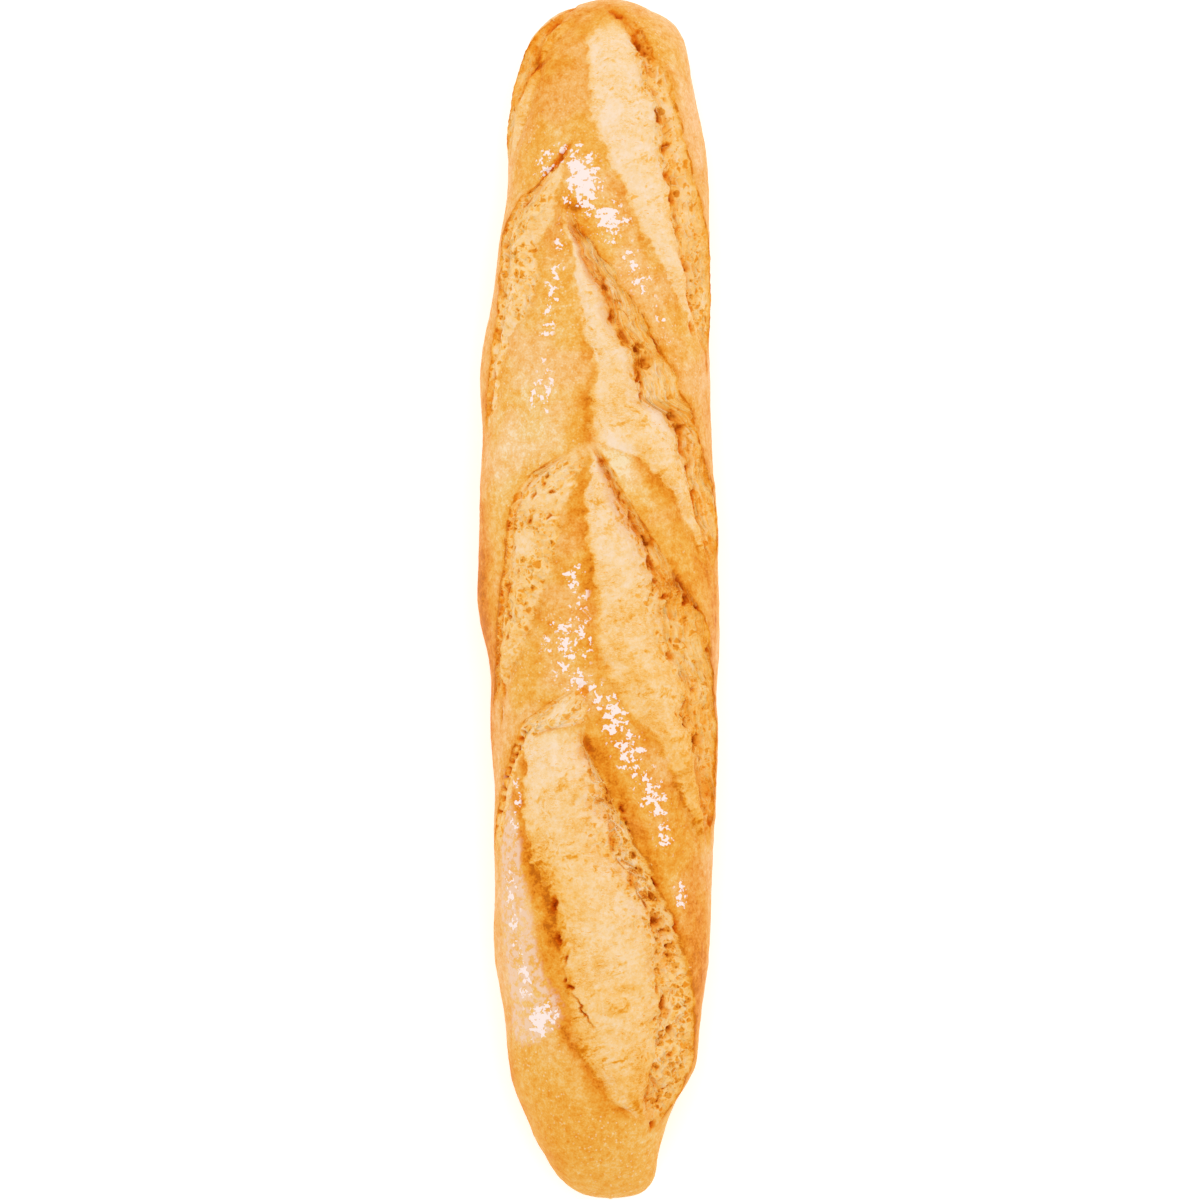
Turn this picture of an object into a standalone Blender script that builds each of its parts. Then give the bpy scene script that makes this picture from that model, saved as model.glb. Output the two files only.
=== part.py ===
"""A slashed baguette, modelled as one solid.

The loaf lies along Y and rests on a flat base at z = 0. Its section is a rounded dome above the
widest level and a flatter bowl below it. Four overlapping cuts, each shaped like an inverted V, open
the crown: the right limb of a cut opens wide, with a raised torn ear along its outer side, and the
left limb is a shallow tear that runs down the left flank. Between two cuts a band of crust crosses
the loaf, and inside each cut a tongue of crust stays whole.
"""
import bpy
import numpy as np

MM = 0.001                  # the lengths below are in millimetres, the mesh is in metres

# --- The loaf ---------------------------------------------------------------------------------

LENGTH = 380.0
HALF_LENGTH = LENGTH / 2
HEAD_ROUNDING = 30.0        # length over which the +Y end closes to a round cap
TAIL_ROUNDING = 20.0        # the same at the -Y end, which is narrower
CAP_POWER = 2.3             # 2 is a circle, more is blunter
DOME_POWER = 2.2            # superellipse power of the section above the widest level
BOWL_POWER = 2.4            # and below it
BOWL_DEPTH = 1.12           # depth of the bowl over the widest level's height: above 1 cuts a flat base

# y, middle of the loaf in x, half width, height of the widest level, height of the dome above it
BODY_STATIONS = np.array([
    (-190, 3.4, 18.6, 15.5, 17.0),
    (-178, 0.6, 18.7, 16.0, 19.5),
    (-170, -0.5, 20.8, 16.8, 21.5),
    (-158, -0.8, 24.9, 18.0, 24.0),
    (-146, 0.9, 29.7, 19.0, 26.0),
    (-120, 0.9, 32.7, 20.0, 28.0),
    (-95, 0.8, 34.4, 20.6, 29.0),
    (-57, 1.3, 34.9, 21.0, 30.0),
    (-30, 1.2, 35.6, 21.0, 30.3),
    (0, -0.2, 37.9, 21.2, 30.8),
    (45, -1.3, 36.7, 21.0, 30.5),
    (82, -0.9, 35.3, 20.8, 30.0),
    (107, 0.9, 33.3, 20.4, 29.0),
    (133, 2.4, 31.4, 19.8, 27.5),
    (158, 1.8, 29.0, 18.8, 25.5),
    (172, 2.4, 27.2, 17.8, 23.5),
    (190, 2.9, 27.4, 16.5, 20.5),
])

# --- The cuts ---------------------------------------------------------------------------------
# One row for each station along a limb: y, then x of the torn lip, of the root where the torn wall
# meets the risen crumb, and of the shore where the crumb meets the tongue of crust.

RIGHT_LIMBS = [
    [(186, 3.5, 3.5, 3.5), (180, 10.5, 9.5, -2.0), (172, 16.0, 13.2, -4.2), (161.5, 21.5, 15.8, -3.8),
     (153, 23.2, 18.2, -2.8), (142.5, 26.0, 20.5, 1.0), (133, 28.5, 22.3, 5.0),
     (125, 30.8, 24.0, 10.0), (109, 33.2, 26.5, 17.0), (93, 34.2, 29.0, 25.5), (76, 33.6, 32.4, 31.5)],
    [(124, -11.0, -11.0, -11.0), (113, -3.2, -8.0, -9.5), (104, 3.5, -3.2, -8.5), (98, 7.5, 0.0, -8.2),
     (92, 12.0, 2.4, -7.4), (84, 16.0, 5.4, -5.5), (76.5, 19.8, 10.6, -3.0), (70, 23.0, 12.2, -1.8),
     (63, 26.0, 14.0, -3.0), (57, 28.4, 23.5, -3.4), (50.5, 30.7, 26.6, -2.0),
     (44.5, 32.4, 27.8, 11.0), (38, 33.7, 29.0, 18.5), (31.5, 34.6, 31.0, 23.0),
     (22, 35.6, 33.0, 27.5), (8, 35.9, 35.0, 34.0)],
    [(50.5, -4.0, -4.0, -4.0), (44, 1.8, -0.2, -3.0), (38, 5.7, 3.3, -5.0), (30, 10.2, 7.0, -4.3),
     (22, 15.2, 12.2, -4.2), (12, 21.8, 16.4, -3.4), (1, 27.3, 19.6, -2.0), (-6, 31.4, 20.6, -1.0),
     (-16, 33.9, 22.8, 0.2), (-28, 34.6, 27.5, 5.0), (-41, 34.8, 29.6, 15.0), (-51, 34.8, 31.6, 20.5),
     (-63, 34.7, 33.0, 26.3), (-79, 34.4, 34.0, 33.0)],
    [(-36.5, -5.5, -5.5, -6.0), (-43, -4.5, -6.0, -23.2), (-49, -1.4, -4.4, -24.2),
     (-58.5, 3.2, -0.6, -25.0), (-66, 7.4, 1.2, -24.6), (-76, 12.0, 3.2, -22.2),
     (-83, 15.3, 7.4, -20.2), (-92, 19.6, 12.4, -16.0), (-100, 22.8, 17.0, -14.6),
     (-110, 26.0, 20.8, -12.4), (-123.5, 28.4, 20.0, -10.5), (-133, 29.0, 19.6, -8.6),
     (-141, 28.8, 18.0, -6.0), (-150, 26.4, 16.6, -2.0), (-156, 23.6, 17.0, 2.5),
     (-163, 19.6, 16.2, 12.0), (-169, 17.0, 15.8, 15.4)],
]
LEFT_LIMBS = [
    [(188, -10.0, -8.0, -3.0), (177.5, -19.8, -17.4, -11.5), (171, -23.2, -20.4, -16.5),
     (164.5, -25.6, -23.4, -19.0), (155, -27.4, -26.2, -22.5), (145, -28.3, -27.6, -25.5),
     (136, -28.6, -28.4, -28.0)],
    [(142, -10.0, -10.0, -10.0), (137, -13.5, -12.4, -11.0), (131, -19.0, -16.8, -11.8),
     (126, -25.0, -22.4, -12.4), (119, -28.6, -26.6, -15.5), (111, -30.2, -28.6, -18.7),
     (101, -31.2, -29.8, -20.0), (92, -32.0, -30.8, -22.0), (85, -33.0, -32.0, -26.5),
     (76, -34.0, -33.2, -30.0), (63, -35.2, -34.6, -32.8), (50.5, -36.0, -36.0, -35.5)],
    [(50, -4.5, -4.5, -4.0), (46, -10.0, -9.0, -4.5), (43.5, -15.0, -13.5, -5.5),
     (38, -23.0, -21.2, -8.0), (33, -25.8, -24.2, -9.4), (27, -28.0, -26.4, -11.6),
     (19, -29.2, -27.8, -14.3), (6, -30.7, -29.4, -17.0), (-6, -31.6, -30.4, -21.0),
     (-14, -32.1, -31.0, -24.4), (-24, -32.9, -32.1, -28.5), (-35.5, -33.5, -33.5, -33.0)],
    [(-24, -4.5, -4.0, -4.0), (-28.5, -10.0, -8.6, -4.2), (-33, -17.0, -15.2, -4.6),
     (-38, -23.0, -21.6, -5.0), (-41, -24.6, -23.2, -18.0), (-44.5, -26.2, -24.8, -22.6),
     (-51, -29.0, -27.6, -25.6), (-63.5, -31.2, -30.2, -28.6), (-82.5, -33.0, -33.0, -32.5)],
]

RIGHT_EAR_RISE = 3.0        # how far the torn lip stands above the skin
RIGHT_ROOT_DEPTH = 3.2      # how far the wall's root lies below the skin
LEFT_EAR_RISE = 0.9
LEFT_ROOT_DEPTH = 1.8
BAND_WIDTH = 15.0           # the crust behind a lip slopes back to the skin over this width
SHORE_DEPTH = 1.3           # step down from the tongue of crust to the crumb
SHORE_WIDTH = 3.0
CRUMB_SWELL = 1.2           # the risen crumb bulges back up by this between shore and root
LIMB_FADE = 11.0            # each limb starts and ends over this length
FULL_WALL = 5.0             # a torn wall this wide has its full depth
FULL_OPENING = 9.0          # and an opening this wide its full swell
NARROWEST = 3.0             # no wall or opening is narrower than this

SKIN_LUMPS = [(61.0, 47.0, 0.45, 0.4), (37.0, 83.0, 0.35, 1.9), (104.0, 29.0, 0.30, 2.7)]

# --- The mesh ---------------------------------------------------------------------------------

ROW_STEP = 1.5              # spacing of the modelled grid along the loaf
HEAD_RINGS = 17             # rings that round the +Y end
TAIL_RINGS = 13             # and the -Y end
AROUND = 140                # points around the section
TRACE = 720                 # points that measure the section's girth
TARGET_TRIANGLES = 9400     # the finished solid keeps about this many
FLAT_WITHIN = 0.25          # the underside is level again after thinning, up to this height

CRUST_COLOUR = (0.83, 0.48, 0.15)
CRUST_ROUGHNESS = 0.62


def clear_scene():
    """Start from an empty scene."""
    for thing in list(bpy.data.objects):
        bpy.data.objects.remove(thing, do_unlink=True)


def smooth_through(stations, values, at):
    """A curve through the stations that never overshoots them: cubic pieces whose slope at each
    station is the harmonic mean of the slopes on its two sides, or zero at a turning point."""
    step = np.diff(stations)
    slope = np.diff(values) / step
    both = slope[:-1] * slope[1:]
    total = slope[:-1] + slope[1:]
    inner = np.where(both > 0, 2 * both / np.where(total == 0, 1, total), 0)
    tangent = np.concatenate([slope[:1], inner, slope[-1:]])
    at = np.clip(at, stations[0], stations[-1])
    i = np.clip(np.searchsorted(stations, at) - 1, 0, len(step) - 1)
    t = (at - stations[i]) / step[i]
    return ((1 + 2 * t) * (1 - t) ** 2 * values[i] + t * (1 - t) ** 2 * step[i] * tangent[i]
            + t * t * (3 - 2 * t) * values[i + 1] - t * t * (1 - t) * step[i] * tangent[i + 1])


def ease(low, high, value):
    """0 below low, 1 above high, and a smooth step between."""
    t = np.clip((value - low) / (high - low), 0, 1)
    return t * t * (3 - 2 * t)


def row_positions():
    """The y of each ring of points: even along the loaf and, in the rounded ends, even in angle."""
    head = HEAD_ROUNDING * (1 - np.cos(np.linspace(0, np.pi / 2, HEAD_RINGS + 1)[1:]))
    tail = TAIL_ROUNDING * (1 - np.cos(np.linspace(0, np.pi / 2, TAIL_RINGS + 1)[1:]))
    straight_from = -HALF_LENGTH + TAIL_ROUNDING
    straight_to = HALF_LENGTH - HEAD_ROUNDING
    count = round((straight_to - straight_from) / ROW_STEP)
    straight = np.linspace(straight_from, straight_to, count)
    return np.concatenate([-HALF_LENGTH + tail[:-1], straight, (HALF_LENGTH - head[:-1])[::-1]])


def end_cap(y):
    """How far the section has opened at y: 0 at the tips, 1 past the rounded ends."""
    head = np.clip((HALF_LENGTH - y) / HEAD_ROUNDING, 0, 1)
    tail = np.clip((HALF_LENGTH + y) / TAIL_ROUNDING, 0, 1)
    open_head = (1 - (1 - head) ** CAP_POWER) ** (1 / CAP_POWER)
    open_tail = (1 - (1 - tail) ** CAP_POWER) ** (1 / CAP_POWER)
    return open_head * open_tail


def trace_sections(y):
    """x, z and girth for each row, at TRACE points from the middle of the base round by the right
    side, over the crown and down the left side. Girth is 0 on the crown, positive to the right."""
    middle, half, level, dome = (smooth_through(BODY_STATIONS[:, 0], BODY_STATIONS[:, k], y)[:, None]
                                 for k in (1, 2, 3, 4))
    cap = end_cap(y)[:, None]
    angle = np.linspace(-np.pi / 2, 3 * np.pi / 2, TRACE + 1)[None, :]
    across, up = np.cos(angle), np.sin(angle)
    power = np.where(up > 0, DOME_POWER, BOWL_POWER)
    reach = np.where(up > 0, dome, BOWL_DEPTH * level)
    x = middle + half * cap * np.sign(across) * np.abs(across) ** (2 / power)
    z = level + reach * cap * np.sign(up) * np.abs(up) ** (2 / power)
    run = np.hypot(np.diff(x, axis=1), np.diff(z, axis=1))
    girth = np.concatenate([np.zeros_like(run[:, :1]), np.cumsum(run, axis=1)], axis=1)
    crown = girth[:, TRACE // 2][:, None]
    return x, z, crown - girth


def limb_relief(stations, side, girth, y, x_rows, girth_rows):
    """Height of one limb above the skin, over the whole grid. side is 1 for a limb whose lip is on
    the right of its crumb, -1 for one whose lip is on the left. Distances run along the skin."""
    table = np.array(stations)[::-1]
    fade = ease(0, LIMB_FADE, y - table[0, 0]) * ease(0, LIMB_FADE, table[-1, 0] - y)
    quarter = TRACE // 4
    upper = slice(quarter, TRACE - quarter + 1)
    edges = []
    for column in (1, 2, 3):
        x = smooth_through(table[:, 0], table[:, column], y)
        edges.append(np.array([np.interp(x[i], x_rows[i, upper][::-1], girth_rows[i, upper][::-1])
                               for i in range(len(y))])[:, None])
    lip, root, shore = edges
    rise, depth = (RIGHT_EAR_RISE, RIGHT_ROOT_DEPTH) if side > 0 else (LEFT_EAR_RISE, LEFT_ROOT_DEPTH)
    wall = np.maximum(side * (lip - root), NARROWEST)
    opening = np.maximum(side * (root - shore), NARROWEST)
    torn = np.minimum(1, wall / FULL_WALL) ** 0.5
    open_share = np.minimum(1, opening / FULL_OPENING)
    past_root = side * (girth - root)

    up_wall = ease(0, 1, past_root / wall)
    behind = np.clip(1 - (past_root - wall) / BAND_WIDTH, 0, 1) ** 2
    outer = np.where(past_root < wall, -depth + (depth + rise) * up_wall, rise * behind) * torn

    into = np.clip(-past_root / opening, 0, 1)
    swell = -depth * torn * (1 - into) ** 3 - SHORE_DEPTH * into ** 3
    swell = swell + CRUMB_SWELL * open_share * np.sin(np.pi * into) ** 2
    past_shore = -past_root - opening
    bank = -SHORE_DEPTH * (1 - ease(0, SHORE_WIDTH, past_shore))
    inner = np.where(past_shore < 0, swell, bank * open_share)
    return np.where(past_root > 0, outer, inner) * fade[:, None]


def loaf_surface():
    """The grid of points, rows along the loaf by AROUND points round it, in millimetres."""
    y = row_positions()
    x_rows, z_rows, girth_rows = trace_sections(y)
    share = np.linspace(0, 1, AROUND, endpoint=False)
    total = girth_rows[:, :1] - girth_rows[:, -1:]
    girth = girth_rows[:, :1] - share[None, :] * total
    x = np.array([np.interp(-girth[i], -girth_rows[i], x_rows[i]) for i in range(len(y))])
    z = np.array([np.interp(-girth[i], -girth_rows[i], z_rows[i]) for i in range(len(y))])
    skin = np.stack([x, np.broadcast_to(y[:, None], x.shape), z], axis=-1)

    along = np.gradient(skin, axis=0)
    around = np.roll(skin, -1, axis=1) - np.roll(skin, 1, axis=1)
    outward = np.cross(along, around)
    outward /= np.linalg.norm(outward, axis=-1, keepdims=True)

    relief = np.zeros_like(x)
    for stations in RIGHT_LIMBS:
        relief += limb_relief(stations, 1, girth, y, x_rows, girth_rows)
    for stations in LEFT_LIMBS:
        relief += limb_relief(stations, -1, girth, y, x_rows, girth_rows)
    for wave_y, wave_girth, size, phase in SKIN_LUMPS:
        relief += size * np.sin(2 * np.pi * y[:, None] / wave_y + phase) * np.cos(
            2 * np.pi * girth / wave_girth + 2 * phase)
    points = skin + outward * relief[:, :, None]
    points[:, :, 2] = np.maximum(points[:, :, 2], 0)
    return points


def close_grid(points):
    """Vertices and faces of the closed skin: quads between rings, and a fan of triangles round a
    single point at each tip."""
    rows, around = points.shape[:2]
    tips = np.stack([points[0].mean(axis=0), points[-1].mean(axis=0)])
    tips[:, 1] = -HALF_LENGTH, HALF_LENGTH
    vertices = np.concatenate([points.reshape(-1, 3), tips])
    index = np.arange(rows * around).reshape(rows, around)
    after = np.roll(index, -1, axis=1)
    quads = np.stack([index[:-1], index[1:], after[1:], after[:-1]], axis=-1).reshape(-1, 4)
    tail_tip, head_tip = rows * around, rows * around + 1
    tail = [(tail_tip, int(a), int(b)) for a, b in zip(index[0], after[0])]
    head = [(head_tip, int(b), int(a)) for a, b in zip(index[-1], after[-1])]
    return vertices, [tuple(map(int, quad)) for quad in quads] + tail + head


def crust_material():
    """Golden baked crust, dry to the touch."""
    material = bpy.data.materials.new("crust")
    material.use_nodes = True
    shader = material.node_tree.nodes["Principled BSDF"]
    shader.inputs["Base Color"].default_value = (*CRUST_COLOUR, 1)
    shader.inputs["Roughness"].default_value = CRUST_ROUGHNESS
    shader.inputs["Metallic"].default_value = 0.0
    material.diffuse_color = (*CRUST_COLOUR, 1)
    return material


def build_loaf():
    """The whole loaf as one object, thinned to triangles that follow the cuts, with a level base."""
    vertices, faces = close_grid(loaf_surface())
    mesh = bpy.data.meshes.new("loaf")
    mesh.from_pydata((vertices * MM).tolist(), [], faces)
    mesh.validate()
    mesh.shade_smooth()
    mesh.materials.append(crust_material())
    loaf = bpy.data.objects.new("loaf", mesh)
    bpy.context.scene.collection.objects.link(loaf)
    triangles = sum(len(face) - 2 for face in faces)
    thin = loaf.modifiers.new("thin", "DECIMATE")
    thin.decimate_type = 'COLLAPSE'
    thin.ratio = TARGET_TRIANGLES / triangles
    bpy.context.view_layer.update()
    thinned = loaf.evaluated_get(bpy.context.evaluated_depsgraph_get())
    loaf.data = bpy.data.meshes.new_from_object(thinned)
    loaf.modifiers.clear()
    for vertex in loaf.data.vertices:
        if vertex.co.z < FLAT_WITHIN * MM:
            vertex.co.z = 0
    return loaf


clear_scene()
build_loaf()
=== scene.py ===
"""A baked baguette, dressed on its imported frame: crust, opened cuts, torn ears, strands and flour.

Lengths inside the script are in millimetres along X, Y and Z of the frame, and every mesh is written
in metres. A place on the loaf is given as y, its place along the loaf, and girth, its distance over
the skin from the crown line, positive towards +X.
"""
import math

import bpy
import numpy as np
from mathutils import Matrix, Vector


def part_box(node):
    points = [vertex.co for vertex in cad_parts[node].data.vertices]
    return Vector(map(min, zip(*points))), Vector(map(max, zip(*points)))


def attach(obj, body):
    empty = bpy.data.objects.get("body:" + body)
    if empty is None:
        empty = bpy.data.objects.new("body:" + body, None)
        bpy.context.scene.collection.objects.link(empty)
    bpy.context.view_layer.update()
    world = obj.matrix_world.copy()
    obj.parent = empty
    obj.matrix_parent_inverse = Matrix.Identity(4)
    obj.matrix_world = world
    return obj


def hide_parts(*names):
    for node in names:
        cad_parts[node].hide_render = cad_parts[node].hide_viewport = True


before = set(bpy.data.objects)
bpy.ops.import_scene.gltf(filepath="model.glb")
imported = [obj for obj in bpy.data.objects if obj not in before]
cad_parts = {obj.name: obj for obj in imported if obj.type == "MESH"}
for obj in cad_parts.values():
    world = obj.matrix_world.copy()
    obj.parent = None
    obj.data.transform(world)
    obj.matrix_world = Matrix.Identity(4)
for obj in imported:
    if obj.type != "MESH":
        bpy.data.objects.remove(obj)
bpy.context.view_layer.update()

# ------------------------------------------------------------------------------------------------
# The crust. It is the skin of the dough, dried and browned in the oven: one closed shell from end
# to end, flat underneath where it lay on the deck. Its section is a dome above the widest level and
# a bowl below it, and the cuts' torn lips lift it into ears.
# ------------------------------------------------------------------------------------------------
MM = 0.001
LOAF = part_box("loaf")
HALF_LENGTH = (LOAF[1][1] - LOAF[0][1]) / 2 / MM
HEAD_ROUNDING = 30.0        # the ends close over these lengths
TAIL_ROUNDING = 20.0
CAP_POWER = 2.3             # roundness of the ends, the dome and the bowl: 2 is an ellipse, and more
DOME_POWER = 2.2            # is squarer
BOWL_POWER = 2.4
BOWL_DEPTH = 1.12           # the bowl would reach this share of its height down, past the flat base

# y, middle of the loaf in x, half width, height of the widest level, height of the dome above it
BODY_STATIONS = np.array([
    (-190, 3.4, 18.6, 15.5, 17.0),
    (-178, 0.6, 18.7, 16.0, 19.5),
    (-170, -0.5, 20.8, 16.8, 21.5),
    (-158, -0.8, 24.9, 18.0, 24.0),
    (-146, 0.9, 29.7, 19.0, 26.0),
    (-120, 0.9, 32.7, 20.0, 28.0),
    (-95, 0.8, 34.4, 20.6, 29.0),
    (-57, 1.3, 34.9, 21.0, 30.0),
    (-30, 1.2, 35.6, 21.0, 30.3),
    (0, -0.2, 37.9, 21.2, 30.8),
    (45, -1.3, 36.7, 21.0, 30.5),
    (82, -0.9, 35.3, 20.8, 30.0),
    (107, 0.9, 33.3, 20.4, 29.0),
    (133, 2.4, 31.4, 19.8, 27.5),
    (158, 1.8, 29.0, 18.8, 25.5),
    (172, 2.4, 27.2, 17.8, 23.5),
    (190, 2.9, 27.4, 16.5, 20.5),
])

# Each limb of a cut. side is 1 where the torn lip is on the right of the crumb and -1 where it is on
# the left. rise and depth are the lip's height over the skin and the root's depth under it, and lean
# is how far the lip hangs over its wall. fibre and bubble say how stringy and how holed the wall is.
# toast and wall_toast are how brown the crumb and the torn wall are, at the limb's start and at its
# end, and shore_toast how brown the crust's own edge is. ledge is the step down from the tongue of
# crust to the crumb, and blur is how far the two run into each other. Each station is y, then x of
# the lip, of the root where the torn wall meets the crumb, and of the shore where the crumb meets the
# tongue of crust.
RIGHT_LIMBS = [
    dict(side=1, rise=2.2, depth=1.8, lean=0.5, fibre=0.35, bubble=0.7, toast=(0.10, 0.22),
         shore_toast=0.14, wall_toast=(0.28, 0.38), ledge=0.5, blur=1.6,
         stations=[(186, 3.5, 3.5, 3.5), (180, 10.5, 9.5, -2.0), (172, 16.0, 13.2, -4.2),
                   (161.5, 21.5, 15.8, -3.8), (153, 23.2, 18.2, -2.8), (142.5, 26.0, 20.5, 1.0),
                   (133, 28.5, 22.3, 5.0), (125, 30.8, 24.0, 10.0), (109, 33.2, 26.5, 17.0),
                   (93, 34.2, 29.0, 25.5), (76, 33.6, 32.4, 31.5)]),
    dict(side=1, rise=2.6, depth=2.4, lean=0.9, fibre=1.0, bubble=0.4, toast=(0.10, 0.32),
         shore_toast=0.24, wall_toast=(0.16, 0.42), ledge=0.5, blur=1.2,
         stations=[(124, -11.0, -11.0, -11.0), (113, -3.2, -8.0, -9.5), (104, 3.5, -3.2, -8.5),
                   (98, 7.5, 0.0, -8.2), (92, 12.0, 2.4, -7.4), (84, 16.0, 5.4, -5.5),
                   (76.5, 19.8, 10.6, -3.0), (70, 23.0, 12.2, -1.8), (63, 26.0, 14.0, -3.0),
                   (57, 28.4, 23.5, -3.4), (50.5, 30.7, 26.6, -2.0), (44.5, 32.4, 27.8, 11.0),
                   (38, 33.7, 29.0, 18.5), (31.5, 34.6, 31.0, 23.0), (22, 35.6, 33.0, 27.5),
                   (8, 35.9, 35.0, 34.0)]),
    dict(side=1, rise=2.6, depth=2.6, lean=1.0, fibre=0.7, bubble=0.55, toast=(0.08, 0.58),
         shore_toast=0.24, wall_toast=(0.27, 0.56), ledge=0.5, blur=1.4,
         stations=[(50.5, -4.0, -4.0, -4.0), (44, 1.8, -0.2, -3.0), (38, 5.7, 3.3, -5.0),
                   (30, 10.2, 7.0, -4.3), (22, 15.2, 12.2, -4.2), (12, 21.8, 16.4, -3.4),
                   (1, 27.3, 19.6, -2.0), (-6, 31.4, 20.6, -1.0), (-16, 33.9, 22.8, 0.2),
                   (-28, 34.6, 27.5, 5.0), (-41, 34.8, 29.6, 15.0), (-51, 34.8, 31.6, 20.5),
                   (-63, 34.7, 33.0, 26.3), (-79, 34.4, 34.0, 33.0)]),
    dict(side=1, rise=2.6, depth=2.6, lean=1.0, fibre=0.1, bubble=1.0, toast=(0.09, 0.46),
         shore_toast=0.36, wall_toast=(0.18, 0.38), ledge=0.7, blur=1.2,
         stations=[(-36.5, -5.5, -5.5, -6.0), (-43, -4.5, -6.0, -23.2), (-49, -1.4, -4.4, -24.2),
                   (-58.5, 3.2, -0.6, -25.0), (-66, 7.4, 1.2, -24.6), (-76, 12.0, 3.2, -22.2),
                   (-83, 15.3, 7.4, -20.2), (-92, 19.6, 12.4, -16.0), (-100, 22.8, 17.0, -14.6),
                   (-110, 26.0, 20.8, -12.4), (-123.5, 28.4, 20.0, -10.5), (-133, 29.0, 19.6, -8.6),
                   (-141, 28.8, 18.0, -6.0), (-150, 26.4, 16.6, -2.0), (-156, 23.6, 17.0, 2.5),
                   (-163, 19.6, 16.2, 12.0), (-169, 17.0, 15.8, 15.4)]),
]
LEFT_LIMBS = [
    dict(side=-1, rise=1.1, depth=2.6, lean=0.5, fibre=0.7, bubble=0.3, toast=(0.62, 0.14),
         shore_toast=0.2, wall_toast=(0.54, 0.26), ledge=0.6, blur=0.6,
         stations=[(188, -10.0, -8.0, -3.0), (177.5, -19.8, -17.4, -11.5), (171, -23.2, -20.4, -16.5),
                   (164.5, -25.6, -23.4, -19.0), (155, -27.4, -26.2, -22.5),
                   (145, -28.3, -27.6, -25.5), (136, -28.6, -28.4, -28.0)]),
    dict(side=-1, rise=0.9, depth=1.1, lean=0.2, fibre=0.3, bubble=0.9, toast=(0.28, 0.15),
         shore_toast=0.12, wall_toast=(0.38, 0.20), ledge=0.5, blur=1.4,
         stations=[(142, -10.0, -10.0, -10.0), (137, -13.5, -12.4, -11.0), (131, -19.0, -16.8, -11.8),
                   (126, -25.0, -22.4, -12.4), (119, -28.6, -26.6, -15.5), (111, -30.2, -28.6, -18.7),
                   (101, -31.2, -29.8, -20.0), (92, -32.0, -30.8, -22.0), (85, -33.0, -32.0, -26.5),
                   (76, -34.0, -33.2, -30.0), (63, -35.2, -34.6, -32.8), (50.5, -36.0, -36.0, -35.5)]),
    dict(side=-1, rise=0.9, depth=1.1, lean=0.2, fibre=0.3, bubble=0.8, toast=(0.26, 0.36),
         shore_toast=0.1, wall_toast=(0.36, 0.60), ledge=0.5, blur=1.4,
         stations=[(50, -4.5, -4.5, -4.0), (46, -10.0, -9.0, -4.5), (43.5, -15.0, -13.5, -5.5),
                   (38, -23.0, -21.2, -8.0), (33, -25.8, -24.2, -9.4), (27, -28.0, -26.4, -11.6),
                   (19, -29.2, -27.8, -14.3), (6, -30.7, -29.4, -17.0), (-6, -31.6, -30.4, -21.0),
                   (-14, -32.1, -31.0, -24.4), (-24, -32.9, -32.1, -28.5),
                   (-35.5, -33.5, -33.5, -33.0)]),
    dict(side=-1, rise=0.5, depth=0.5, lean=0.2, fibre=0.5, bubble=0.6, toast=(0.08, 0.34),
         shore_toast=0.1, wall_toast=(0.24, 0.44), ledge=0.5, blur=0.8,
         stations=[(-24, -4.5, -4.0, -4.0), (-28.5, -10.0, -8.6, -4.2), (-33, -17.0, -15.2, -4.6),
                   (-38, -23.0, -21.6, -5.0), (-41, -24.6, -23.2, -18.0), (-44.5, -26.2, -24.8, -22.6),
                   (-51, -29.0, -27.6, -25.6), (-63.5, -31.2, -30.2, -28.6),
                   (-82.5, -33.0, -33.0, -32.5)]),
]
LIMBS = LEFT_LIMBS + RIGHT_LIMBS

BAND_WIDTH = 15.0           # the crust behind a lip slopes back to the skin over this width
SHORE_WIDTH = 3.0           # the ledge rises to the tongue of crust over this width
CRUMB_SWELL = 1.2           # the risen crumb bulges back up by this between shore and root
LIMB_FADE = 11.0            # each limb starts and ends over this length
FULL_WALL = 5.0             # a torn wall this wide has its full depth
FULL_OPENING = 9.0          # and an opening this wide has its full swell
NARROWEST = 2.2             # no wall or opening is narrower than this
# Unevenness of the whole skin. Broad lumps: wavelength along and round the loaf, size and phase. And
# grain: size, wavelength round and along the loaf, and salt.
SKIN_LUMPS = [(61.0, 47.0, 0.45, 0.4), (37.0, 83.0, 0.35, 1.9), (104.0, 29.0, 0.30, 2.7)]
SKIN_GRAIN = [(0.12, 3.1, 3.6, 11), (0.05, 1.0, 1.0, 14)]

PATCH_STEP = 0.32           # spacing of the finest meshes, which dress the cuts
TRACE = 720                 # steps of angle in which a section of the skin is traced
SHARES = 600                # and even steps of its girth in the skin's table
UPPER = slice(SHARES // 4, 3 * SHARES // 4 + 1)
UPPER_SHARES = np.linspace(-1, 1, SHARES + 1)[UPPER]


def smooth_through(stations, values, at):
    """A curve through the stations that never overshoots them: cubic pieces whose slope at each
    station is the harmonic mean of the slopes on its two sides, or zero at a turning point."""
    step = np.diff(stations)
    slope = np.diff(values) / step
    both = slope[:-1] * slope[1:]
    total = slope[:-1] + slope[1:]
    inner = np.where(both > 0, 2 * both / np.where(total == 0, 1, total), 0)
    tangent = np.concatenate([slope[:1], inner, slope[-1:]])
    at = np.clip(at, stations[0], stations[-1])
    i = np.clip(np.searchsorted(stations, at) - 1, 0, len(step) - 1)
    t = (at - stations[i]) / step[i]
    return ((1 + 2 * t) * (1 - t) ** 2 * values[i] + t * (1 - t) ** 2 * step[i] * tangent[i]
            + t * t * (3 - 2 * t) * values[i + 1] - t * t * (1 - t) * step[i] * tangent[i + 1])


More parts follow.
